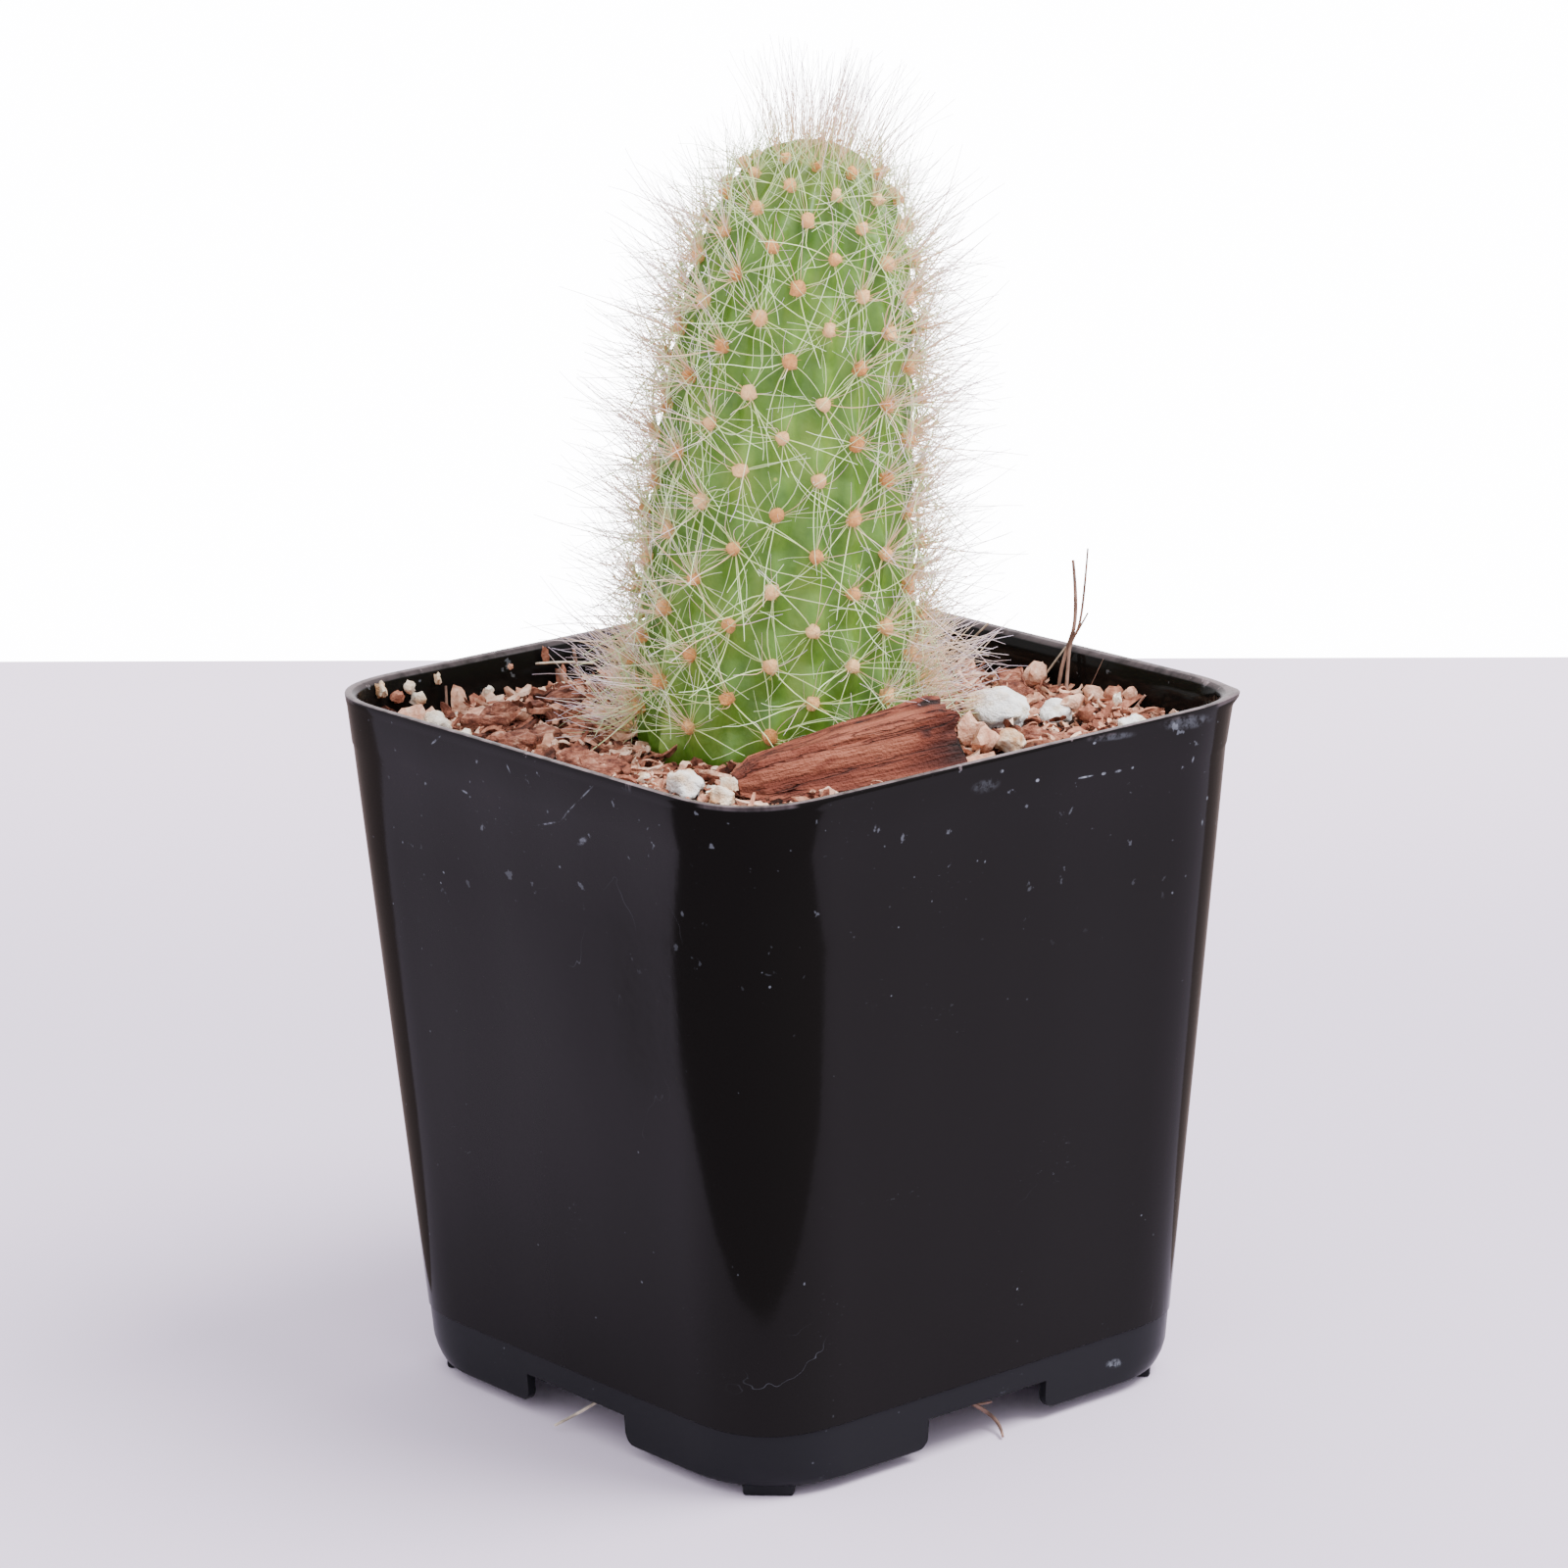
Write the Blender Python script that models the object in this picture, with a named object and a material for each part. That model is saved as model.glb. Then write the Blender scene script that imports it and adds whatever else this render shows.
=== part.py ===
"""A potted monkey tail cactus.

A ribbed, leaning stem with bristly areoles stands in potting mix, with bark and perlite
on top, in a square nursery pot. Metres, +Z up. The origin is on the table, under the
middle of the pot. Ribs and areoles are placed by rule, and every random draw is seeded.
"""

import bisect
import math
import random

import bmesh
import bpy
from mathutils import Matrix, Vector, geometry, noise
from mathutils.bvhtree import BVHTree

PART = "potted_monkey_tail_cactus"
CLEARANCE = 0.0003          # between pieces that rest in or against each other

# Pot: a thin square shell with round corners, tapering to a low skirt round its floor
POT_HEIGHT = 0.0595
RIM_HALF = 0.0283           # half the outer side, over the lip
LIP_OUT = 0.00015
LIP_HEIGHT = 0.0008
BAND_HEIGHT = 0.0035        # faint thicker band under the lip
BAND_OUT = 0.00008
FOOT_HALF = 0.0241          # half the outer side at the table
CORNER_TOP = 0.0072         # outer corner radius under the lip
CORNER_FOOT = 0.0070
CORNER_SIDES = 6
SKIRT_ROUNDER = 0.0017      # added to the corner radius at the skirt's lower edge
SKIRT_TURN = 0.0020         # height over which the skirt's corners draw in
WALL = 0.0009
FOOT_BAND_TOP = 0.0057
FOOT_BAND_IN = 0.00012
SKIRT_EDGE = 0.00095        # the skirt stops this far above the table
FLOOR_TOP = 0.0050
FLOOR_THICKNESS = 0.0010
NUB_WIDTH = 0.0042          # the four corner nubs that the pot stands on
NUB_DEPTH = 0.0022
NUB_HEIGHT = 0.0016
NOTCH_WIDTH = 0.0130        # drain notch in the middle of each side of the skirt
NOTCH_TOP = 0.0036
DRAIN_RADIUS = 0.0033
DRAIN_OUT = 0.0168          # from the middle of the floor to each outer drain hole

# Potting mix
MIX_LEVEL = 0.0557          # at the stem
MIX_FRONT_RISE = 0.0005     # higher towards the corner at -X, -Y
MIX_LUMP = 0.00055
MIX_CRUMB = 0.00045
MIX_CELLS = 18
SHREDS = 26
SHRED_LENGTH = (0.0024, 0.0050)
SHRED_RADIUS = (0.0005, 0.0009)
SHRED_FREE = 0.0056         # room that a shred keeps from the middle of a loose piece

# Stem: it starts upright just under the mix and bends; heights are above its foot
STEM_FOOT = Vector((-0.00055, 0.00046, 0.0552))
LEAN_TOWARDS = math.radians(-39.9)
STEM_BEND = 1.79            # metres sideways per metre of height squared
STEM_LENGTH = 0.0501        # height of the tip
STEM_RADIUS = 0.01199       # over the tubercles, at the foot
STEM_TAPER = (0.0247, 1.047)      # radius lost per metre of height, and per metre squared
STEM_BLUNTNESS = 12         # exponent of the dome
STEM_BURIED = 0.0070
BURIED_RADIUS = 0.0102
PLAIN_TOP = 0.0016          # the plain base ends this far below the stem's foot
RIBS = 21
RIB_STEP = 10 / 21          # each rib's areoles are this much of a spacing above the last rib's
FIRST_RIB_ANGLE = math.radians(-76.2)
CREST_HALF = 0.22           # half the flat crest, as a share of the rib
GROOVE_DEPTH = 0.0011
SADDLE_DEPTH = 0.0005       # between two areoles of one rib
LOWEST_ROW = -2.9
TOP_ROW = 5.6               # no areoles above it: the tuft is there
STEM_TOP_ROW = 6.1          # the last ring under the tip
RINGS_PER_ROW = 3
AREOLE_SQUEEZE = 0.25       # how much closer the two rings at an areole are than even spacing

# Areoles and bristles; insets are shares of the size of the face that they are in
BUTTON_INSET = 0.11
BUTTON_HEIGHT = 0.00055
BRISTLE_INSET = 0.18
BRISTLE_LENGTH = (0.0042, 0.0070)
BRISTLE_SCATTER = 0.35
BRISTLE_LIFTS = (0.15, 0.6, 1.2, 2.0)
BRISTLES_PER_AREOLE = 3
BRISTLE_GAP = 0.00050       # least distance between two bristles
TUFT_SIZE = (0.0036, 0.0020)      # radius and height of the growing tip
TUFT_SUNK = 0.0010
TUFT_INSET = 0.22
TUFT_LENGTH = (0.0045, 0.0066)

# Loose pieces on the mix: name, (x, y), size (length, width, height), turn and tip in degrees
PERLITE = (
    ("perlite_1", (-0.0182, -0.0089), (0.0036, 0.0030, 0.0027), 20, 10),
    ("perlite_2", (-0.0183, -0.0136), (0.0030, 0.0026, 0.0021), 60, 0),
    ("perlite_3", (0.0164, -0.0079), (0.0056, 0.0042, 0.0038), -35, 12),
    ("perlite_4", (0.0206, -0.0107), (0.0036, 0.0030, 0.0028), 15, 0),
    ("perlite_5", (0.0095, -0.0172), (0.0030, 0.0025, 0.0023), 70, 0),
    ("perlite_6", (0.0209, -0.0197), (0.0030, 0.0026, 0.0024), 40, 8),
    ("perlite_7", (-0.0207, 0.0208), (0.0028, 0.0026, 0.0024), 30, 0),
    ("perlite_8", (-0.0226, 0.0146), (0.0024, 0.0020, 0.0018), 80, 0),
    ("perlite_9", (0.0006, 0.0185), (0.0028, 0.0022, 0.0020), 10, 0),
    ("perlite_10", (0.0196, 0.0156), (0.0034, 0.0028, 0.0024), 50, 0),
)
BARK_CHIPS = (
    ("bark_chip_1", (-0.0178, 0.0120), (0.0062, 0.0034, 0.0018), 20, 9),
    ("bark_chip_2", (-0.0108, 0.0205), (0.0108, 0.0016, 0.0013), 10, 4),
    ("bark_chip_3", (0.0223, -0.0034), (0.0046, 0.0032, 0.0026), 60, -14),
    ("bark_chip_4", (0.0154, -0.0178), (0.0076, 0.0014, 0.0012), -33, 5),
    ("bark_chip_5", (0.0060, 0.0225), (0.0060, 0.0034, 0.0016), -20, 10),
    ("bark_chip_6", (-0.0181, 0.0174), (0.0038, 0.0012, 0.0024), -60, 0),
    ("bark_chip_7", (0.0160, 0.0080), (0.0066, 0.0030, 0.0018), 75, 8),
    ("bark_chip_8", (-0.0200, 0.0010), (0.0058, 0.0030, 0.0016), 95, -6),
)
PIECE_SUNK = 0.35           # share of a loose piece's height that is below the mix
POCKET_DEPTH = 0.0080

# Bark chunk: a wedge that lies between the stem and the pot's front corner, thin end first
CHUNK_THIN_END = Vector((-0.0152, -0.0130, 0.0570))
CHUNK_THICK_END = Vector((0.0011, -0.0190, 0.0586))
CHUNK_THIN = (0.0034, 0.0024)     # width, height
CHUNK_THICK = (0.0056, 0.0048)

# Dry stalk against the wall, and fibres that hang out of two drain holes
STALK_PATH = ((0.0247, -0.0058, 0.0550), (0.0252, -0.0060, 0.0590), (0.0257, -0.0064, 0.0625),
              (0.0263, -0.0071, 0.0678))
STALK_FORK = ((0.0254, -0.0061, 0.0606), (0.0260, -0.0083, 0.0634), (0.0261, -0.0097, 0.0660))
STALK_RADIUS = 0.00032
FIBRE_RADIUS = 0.00030
FIBRE_PATHS = {
    "drain_fibre_1": ((-0.0166, 0.0000, 0.0047), (-0.0186, 0.0003, 0.0032),
                      (-0.0214, 0.0002, 0.0023), (-0.0236, 0.0008, 0.0014),
                      (-0.0250, 0.0019, 0.0007)),
    "drain_fibre_2": ((-0.0010, -0.0166, 0.0047), (-0.0015, -0.0188, 0.0030),
                      (-0.0012, -0.0214, 0.0023), (0.0000, -0.0234, 0.0015),
                      (0.0012, -0.0250, 0.0008)),
}

for old in list(bpy.data.objects):
    bpy.data.objects.remove(old, do_unlink=True)


def new_collection(name, parent=bpy.context.scene.collection):
    collection = bpy.data.collections.new(name)
    parent.children.link(collection)
    return collection


parts = new_collection(PART)
cutters = new_collection("cutters")
pockets = new_collection("pockets", cutters)


def paint(name, colour, roughness):
    """A Principled material of one colour."""
    material = bpy.data.materials.new(name)
    material.use_nodes = True
    shader = material.node_tree.nodes["Principled BSDF"]
    shader.inputs["Base Color"].default_value = (*colour, 1.0)
    shader.inputs["Roughness"].default_value = roughness
    shader.inputs["Metallic"].default_value = 0.0
    return material


def add(name, bm, collection=parts, material=None, smooth=None):
    """Turn a bmesh into an object; smooth is the angle past which an edge stays sharp."""
    bmesh.ops.recalc_face_normals(bm, faces=bm.faces)
    if bm.calc_volume(signed=True) < 0:
        bmesh.ops.reverse_faces(bm, faces=bm.faces)
    mesh = bpy.data.meshes.new(name)
    bm.to_mesh(mesh)
    bm.free()
    if smooth is not None:
        mesh.shade_smooth()
        mesh.set_sharp_from_angle(angle=math.radians(smooth))
    if material is not None:
        mesh.materials.append(material)
    piece = bpy.data.objects.new(name, mesh)
    collection.objects.link(piece)
    if collection is not parts:
        piece.hide_render = True
        piece.display_type = "WIRE"
    return piece


def boolean(piece, other, operation, solver="EXACT"):
    """Cut or join a piece with an object or with a whole collection."""
    modifier = piece.modifiers.new(operation.lower(), "BOOLEAN")
    modifier.operation = operation
    modifier.solver = solver
    if isinstance(other, bpy.types.Collection):
        modifier.operand_type = "COLLECTION"
        modifier.collection = other
    else:
        modifier.object = other


def fuse(piece, collection):
    """Join a whole collection onto a piece in one union, and drop the collection's objects."""
    boolean(piece, collection, "UNION", solver="MANIFOLD")
    evaluated = piece.evaluated_get(bpy.context.evaluated_depsgraph_get())
    piece_mesh = bpy.data.meshes.new_from_object(evaluated)
    piece.modifiers.clear()
    piece.data = piece_mesh
    for item in list(collection.objects):
        bpy.data.objects.remove(item, do_unlink=True)
    bpy.data.collections.remove(collection)


def rounded_square(bm, z, half, radius):
    """One ring of a rounded square, as vertices in order."""
    ring = []
    for quarter in range(4):
        middle = math.pi / 4 + quarter * math.pi / 2
        centre = (half - radius) * math.sqrt(2)
        for step in range(CORNER_SIDES + 1):
            angle = math.pi / 2 * (quarter + step / CORNER_SIDES)
            x = centre * math.cos(middle) + radius * math.cos(angle)
            y = centre * math.sin(middle) + radius * math.sin(angle)
            ring.append(bm.verts.new((x, y, z)))
    return ring


def loft(levels):
    """Close a stack of rounded squares (z, half side, corner radius) into a solid."""
    bm = bmesh.new()
    rings = [rounded_square(bm, *level) for level in levels]
    for lower, upper in zip(rings, rings[1:]):
        for i in range(len(lower)):
            bm.faces.new((lower[i - 1], lower[i], upper[i], upper[i - 1]))
    bm.faces.new(rings[0])
    bm.faces.new(rings[-1])
    return bm


def wall_level(z, inwards=0.0, rounder=0.0):
    """The pot's outer wall at a height, moved inwards: (z, half side, corner radius)."""
    share = z / POT_HEIGHT
    half = FOOT_HALF + (RIM_HALF - LIP_OUT - FOOT_HALF) * share
    radius = CORNER_FOOT + (CORNER_TOP - CORNER_FOOT) * share + rounder
    return z, half - inwards, radius - inwards


def box(name, size, centre, turn):
    """A plain cutter box, turned about Z round the origin."""
    bm = bmesh.new()
    place = Matrix.Rotation(turn, 4, "Z") @ Matrix.Translation(centre)
    bmesh.ops.create_cube(bm, size=1.0, matrix=place @ Matrix.Diagonal((*size, 1.0)))
    return add(name, bm, cutters)


def round_cutter(name, collection, sides, low_radius, high_radius, depth, place):
    """A round or oval cutter, centred on place and standing along its Z."""
    bm = bmesh.new()
    bmesh.ops.create_cone(bm, cap_ends=True, segments=sides, radius1=low_radius,
                          radius2=high_radius, depth=depth, matrix=place)
    return add(name, bm, collection)


def make_pot():
    """One moulded shell: floor, wall, lip, skirt, four nubs, four notches, five drain holes."""
    lip_bottom = POT_HEIGHT - LIP_HEIGHT
    band_bottom = lip_bottom - BAND_HEIGHT
    pot = add("pot", loft([
        wall_level(FLOOR_TOP, WALL),
        wall_level(POT_HEIGHT, WALL),
        wall_level(POT_HEIGHT, -LIP_OUT),
        wall_level(lip_bottom, -LIP_OUT),
        wall_level(lip_bottom, -BAND_OUT),
        wall_level(band_bottom, -BAND_OUT),
        wall_level(band_bottom),
        wall_level(FOOT_BAND_TOP),
        wall_level(FOOT_BAND_TOP, FOOT_BAND_IN),
        wall_level(SKIRT_EDGE + SKIRT_TURN, FOOT_BAND_IN),
        wall_level(SKIRT_EDGE, FOOT_BAND_IN, SKIRT_ROUNDER),
        wall_level(SKIRT_EDGE, WALL, SKIRT_ROUNDER),
        wall_level(SKIRT_EDGE + SKIRT_TURN, WALL),
        wall_level(FLOOR_TOP - FLOOR_THICKNESS, WALL),
    ]), material=paint("black polypropylene", (0.010, 0.010, 0.011), 0.22), smooth=30)

    skirt_radius = CORNER_FOOT + SKIRT_ROUNDER
    corner_out = (FOOT_HALF - skirt_radius) * math.sqrt(2) + skirt_radius - FOOT_BAND_IN
    nub_out = corner_out - NUB_WIDTH ** 2 / (8 * skirt_radius)
    for side in range(4):
        turn = side * math.pi / 2
        nub = box(f"nub_{side}", (NUB_DEPTH, NUB_WIDTH, NUB_HEIGHT),
                  (nub_out - NUB_DEPTH / 2, 0.0, NUB_HEIGHT / 2), turn + math.pi / 4)
        boolean(pot, nub, "UNION")
        notch = box(f"notch_{side}", (4 * WALL, NOTCH_WIDTH, 2 * NOTCH_TOP),
                    (FOOT_HALF - WALL / 2, 0.0, 0.0), turn)
        boolean(pot, notch, "DIFFERENCE")

    holes = [(0.0, 0.0)]
    for side in range(4):
        holes.append((DRAIN_OUT * math.cos(side * math.pi / 2), DRAIN_OUT * math.sin(side * math.pi / 2)))
    for number, (x, y) in enumerate(holes):
        place = Matrix.Translation((x, y, FLOOR_TOP - FLOOR_THICKNESS / 2))
        hole = round_cutter(f"drain_{number}", cutters, 16, DRAIN_RADIUS, DRAIN_RADIUS,
                            4 * FLOOR_THICKNESS, place)
        boolean(pot, hole, "DIFFERENCE")
    return pot


def mix_height(x, y):
    """Height of the potting mix: a low slope and two sizes of lump."""
    slope = -MIX_FRONT_RISE * (x + y) / (2 * RIM_HALF)
    lumps = MIX_LUMP * noise.noise(Vector((x, y, 0.0)) * 160.0)
    crumbs = MIX_CRUMB * noise.noise(Vector((x, y, 0.004)) * 420.0)
    return MIX_LEVEL + slope + lumps + crumbs


def has_room(x, y):
    """Whether a shred can lie here, clear of the wall, the stem and every loose piece."""
    if math.hypot(x, y) > RIM_HALF or math.hypot(x, y) < STEM_RADIUS + SHRED_FREE / 2:
        return False
    on_chunk, share = geometry.intersect_point_line(Vector((x, y)), CHUNK_THIN_END.xy, CHUNK_THICK_END.xy)
    if -0.2 < share < 1.2 and math.dist((x, y), on_chunk) < SHRED_FREE:
        return False
    return all(math.dist((x, y), place) > SHRED_FREE for _, place, *_ in PERLITE + BARK_CHIPS)


def make_mix():
    """A block that fills the pot, with a lumpy top and a few shreds grown into it."""
    side = WALL + CLEARANCE
    mix = add("potting_mix", loft([wall_level(FLOOR_TOP + CLEARANCE, side), wall_level(POT_HEIGHT, side)]),
              material=paint("potting mix", (0.085, 0.038, 0.024), 0.95))

    bm = bmesh.new()
    bmesh.ops.create_grid(bm, x_segments=MIX_CELLS, y_segments=MIX_CELLS, size=RIM_HALF)
    for vert in bm.verts:
        vert.co.z = mix_height(vert.co.x, vert.co.y)
    underside = bmesh.ops.extrude_face_region(bm, geom=bm.faces[:])["geom"]
    for item in underside:
        if isinstance(item, bmesh.types.BMVert):
            item.co.z = 0.0
    boolean(mix, add("mix_top", bm, cutters), "INTERSECT", solver="MANIFOLD")

    chance = random.Random(21)
    shreds = new_collection("shreds")
    reach = RIM_HALF - SHRED_FREE
    while len(shreds.objects) < SHREDS:
        x, y = chance.uniform(-reach, reach), chance.uniform(-reach, reach)
        turn, tip = chance.uniform(0, math.pi), chance.uniform(-0.25, 0.25)
        radius, length = chance.uniform(*SHRED_RADIUS), chance.uniform(*SHRED_LENGTH)
        if has_room(x, y):
            place = (Matrix.Translation((x, y, mix_height(x, y) + 0.15 * radius))
                     @ Matrix.Rotation(turn, 4, "Z") @ Matrix.Rotation(math.pi / 2 + tip, 4, "Y"))
            round_cutter("shred", shreds, 4, radius, 0.35 * radius, length, place)
    fuse(mix, shreds)
    boolean(mix, pockets, "DIFFERENCE", solver="MANIFOLD")
    return mix


def make_pocket(piece):
    """Room in the mix for a resting piece: an oval hole, wider by the clearance all round."""
    turn = Matrix.Rotation(piece.matrix_world.to_euler().z, 4, "Z")
    middle = piece.matrix_world.translation
    points = [turn.inverted() @ (piece.matrix_world @ vert.co - middle) for vert in piece.data.vertices]
    low = [min(point[axis] for point in points) - CLEARANCE for axis in range(3)]
    high = [max(point[axis] for point in points) + CLEARANCE for axis in range(3)]
    sides = 8
    corner = max(math.hypot(2 * (p.x - (low[0] + high[0]) / 2) / (high[0] - low[0]),
                            2 * (p.y - (low[1] + high[1]) / 2) / (high[1] - low[1])) for p in points)
    grow = max(1.0, corner) / math.cos(math.pi / sides)
    size = [(high[0] - low[0]) * grow, (high[1] - low[1]) * grow, POCKET_DEPTH]
    centre = Vector([(a + b) / 2 for a, b in zip(low, high)])
    centre.z = low[2] + POCKET_DEPTH / 2
    place = Matrix.Translation(middle) @ turn @ Matrix.Translation(centre) @ Matrix.Diagonal((*size, 1.0))
    round_cutter(f"pocket_{piece.name}", pockets, sides, 0.5, 0.5, 1.0, place)


def make_hole(name, foot, direction, low_radius, high_radius, depth, sides):
    """A plain round hole for a stem, from foot up along direction, wider at its top."""
    place = (Matrix.Translation(foot + direction * depth / 2)
             @ direction.to_track_quat("Z", "Y").to_matrix().to_4x4())
    round_cutter(name, pockets, sides, low_radius, high_radius, depth, place)


LEAN = Vector((math.cos(LEAN_TOWARDS), math.sin(LEAN_TOWARDS), 0.0))
UPRIGHT = Vector((0.0, 0.0, 1.0))


def stem_centre(height):
    """A point of the stem's axis: straight down under the foot, bent sideways above it."""
    return STEM_FOOT + UPRIGHT * height + LEAN * STEM_BEND * max(height, 0.0) ** 2


def stem_direction(height):
    """Which way the axis runs at a height."""
    return (UPRIGHT + LEAN * 2 * STEM_BEND * max(height, 0.0)).normalized()


TIP = stem_centre(STEM_LENGTH)
TIP_DIRECTION = stem_direction(STEM_LENGTH)


def stem_radius(height):
    """Radius over the tubercles at a height."""
    barrel = STEM_RADIUS - STEM_TAPER[0] * height - STEM_TAPER[1] * height ** 2
    return barrel * math.sqrt(max(0.0, 1.0 - (height / STEM_LENGTH) ** STEM_BLUNTNESS))


def stem_outline(samples=600):
    """The stem's outline from its foot to its tip, as (arc length, height, radius)."""
    heights = [STEM_LENGTH * (1 - (1 - i / samples) ** 3) for i in range(samples + 1)]
    arc = 0.0
    outline = [(arc, 0.0, stem_radius(0.0))]
    for low, high in zip(heights, heights[1:]):
        arc += math.hypot(high - low, stem_radius(high) - stem_radius(low))
        outline.append((arc, high, stem_radius(high)))
    return outline


OUTLINE = stem_outline()


def on_outline(arc):
    """Height and radius at an arc length up the outline."""
    place = min(max(bisect.bisect(OUTLINE, (arc,)), 1), len(OUTLINE) - 1)
    low, high = OUTLINE[place - 1], OUTLINE[place]
    share = min(max((arc - low[0]) / (high[0] - low[0]), 0.0), 1.0)
    return low[1] + (high[1] - low[1]) * share, low[2] + (high[2] - low[2]) * share


def row_arc(row):
    """Arc length of an areole row: widest spacing at mid height, closer towards the tip."""
    return 0.01827 + 0.0062373 * row + 0.000035 * row ** 2 - 0.000023 * row ** 3


def outwards(rib, height):
    """Direction from the axis to a rib; half a rib further is the next groove."""
    angle = FIRST_RIB_ANGLE + 2 * math.pi * rib / RIBS
    across = UPRIGHT.cross(LEAN)
    return across.cross(stem_direction(height)) * math.cos(angle) + across * math.sin(angle)


def stem_point(row, rib):
    """A point of the ribbed surface at an areole row and a rib; whole ribs are crests."""
    height, radius = on_outline(row_arc(row))
    crest = min(1.0, (0.5 - abs(rib - round(rib))) / (0.5 - CREST_HALF))
    areole = 0.5 + 0.5 * math.cos(2 * math.pi * (row - round(rib) * RIB_STEP))
    relief = GROOVE_DEPTH * (1 - crest) + SADDLE_DEPTH * crest * (1 - areole)
    relief *= min(1.0, radius / (0.6 * STEM_RADIUS))
    return stem_centre(height) + outwards(rib, height) * (radius - relief)


def ring_row(ring, rib):
    """Height in rows of one ring on one rib: a close pair of rings holds each areole."""
    shift = (rib * RIB_STEP - LOWEST_ROW) * RINGS_PER_ROW + 0.5
    row = LOWEST_ROW + (ring + shift - round(shift)) / RINGS_PER_ROW
    above = row - rib * RIB_STEP
    above -= round(above)
    return row - (AREOLE_SQUEEZE * above if abs(above) < 0.3 else 0.0)


def make_stem():
    """The ribbed stem on its plain buried base, as a closed bmesh."""
    offsets = (-CREST_HALF, CREST_HALF, 0.5)
    columns = len(offsets) * RIBS
    levels = round((STEM_TOP_ROW - LOWEST_ROW) * RINGS_PER_ROW) + 3
    bm = bmesh.new()
    bmesh.ops.create_grid(bm, x_segments=columns, y_segments=levels, size=0.5)
    for vert in bm.verts:
        rib, place = divmod(round((vert.co.x + 0.5) * columns) % columns, len(offsets))
        across = rib + offsets[place]
        level = round((vert.co.y + 0.5) * levels)
        if level == 0:
            vert.co = stem_centre(-STEM_BURIED) + outwards(across, 0.0) * BURIED_RADIUS * 0.9
        elif level == 1:
            vert.co = stem_centre(-PLAIN_TOP) + outwards(across, 0.0) * BURIED_RADIUS
        elif level == levels:
            vert.co = TIP
        elif offsets[place] == 0.5:
            vert.co = stem_point((ring_row(level - 2, rib) + ring_row(level - 2, rib + 1)) / 2, across)
        else:
            vert.co = stem_point(ring_row(level - 2, rib), across)
    bmesh.ops.remove_doubles(bm, verts=bm.verts, dist=0.000005)
    base_rim = [edge for edge in bm.edges if edge.is_boundary]
    bmesh.ops.contextual_create(bm, geom=base_rim)
    bmesh.ops.recalc_face_normals(bm, faces=bm.faces)
    return bm


def world_tree(piece):
    """A search tree of a finished piece, in world coordinates."""
    bm = bmesh.new()
    bm.from_object(piece, bpy.context.evaluated_depsgraph_get())
    bm.transform(piece.matrix_world)
    tree = BVHTree.FromBMesh(bm)
    bm.free()
    return tree


def least_gap(first, second):
    """Least distance between two straight bristles, each given as (root, tip)."""
    near = geometry.intersect_line_line(*first, *second)
    if near is None:
        return (first[0] - second[0]).length
    points = []
    for point, ends in zip(near, (first, second)):
        share = geometry.intersect_point_line(point, *ends)[1]
        points.append(ends[0].lerp(ends[1], min(max(share, 0.0), 1.0)))
    return (points[0] - points[1]).length


def is_clear(bristle, trees, bristles):
    """Whether a bristle keeps well away from every piece and from every other bristle."""
    root, tip = bristle
    reach = tip - root
    for tree in trees:
        if tree.ray_cast(root + reach.normalized() * CLEARANCE, reach, reach.length)[0]:
            return False
        for share in (0.1, 0.2, 0.35, 0.5, 0.7, 0.85, 1.0):
            room = min(2 * CLEARANCE, 0.35 * share * reach.length)
            if tree.find_nearest(root + reach * share)[3] < room:
                return False
    nearby = [other for other in bristles if (other[0] - root).length < 2 * BRISTLE_LENGTH[1]]
    return all(least_gap(bristle, other) > BRISTLE_GAP for other in nearby)


def raise_bristle(bm, face, inset, aims, length, trees, bristles):
    """Draw a long three-sided bristle out of a face, along the first aim that is clear."""
    root = face.calc_center_median()
    for aim in aims:
        bristle = (root, root + aim.normalized() * length)
        if is_clear(bristle, trees, bristles):
            bmesh.ops.inset_individual(bm, faces=[face], thickness=inset, use_relative_offset=True)
            point = bmesh.ops.poke(bm, faces=[face])["verts"][0]
            point.co = bristle[1]
            bristles.append(bristle)
            return


def raise_buttons(bm):
    """Raise a felt button out of the crest at each areole; returns each button's side faces."""
    tree = BVHTree.FromBMesh(bm)
    bm.faces.ensure_lookup_table()
    seats = []
    for rib in range(RIBS):
        first = LOWEST_ROW + (rib * RIB_STEP - LOWEST_ROW) % 1.0
        for step in range(math.ceil(TOP_ROW - first)):
            seats.append(bm.faces[tree.find_nearest(stem_point(first + step, rib))[2]])
    buttons = []
    for seat in seats:
        bmesh.ops.inset_individual(bm, faces=[seat], thickness=BUTTON_INSET, use_relative_offset=True)
        normal = seat.normal.copy()
        button = bmesh.ops.poke(bm, faces=[seat])
        button["verts"][0].co += normal * BUTTON_HEIGHT
        buttons.append(button["faces"])
    bm.normal_update()
    return buttons


def make_tuft(chance, bristles):
    """The growing tip, with its upright bristles."""
    radius, height = TUFT_SIZE
    place = (Matrix.Translation(TIP - TIP_DIRECTION * TUFT_SUNK)
             @ TIP_DIRECTION.to_track_quat("Z", "Y").to_matrix().to_4x4()
             @ Matrix.Diagonal((radius, radius, height, 1)))
    bm = bmesh.new()
    bmesh.ops.create_icosphere(bm, subdivisions=2, radius=1.0, matrix=place)
    bmesh.ops.recalc_face_normals(bm, faces=bm.faces)
    for face in [face for face in bm.faces if face.normal.dot(TIP_DIRECTION) > 0.5]:
        aims = [UPRIGHT + face.normal * chance.uniform(0.4, 1.0) for _ in BRISTLE_LIFTS]
        raise_bristle(bm, face, TUFT_INSET, aims, chance.uniform(*TUFT_LENGTH), [], bristles)
    return add("tuft", bm, cutters)


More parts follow.
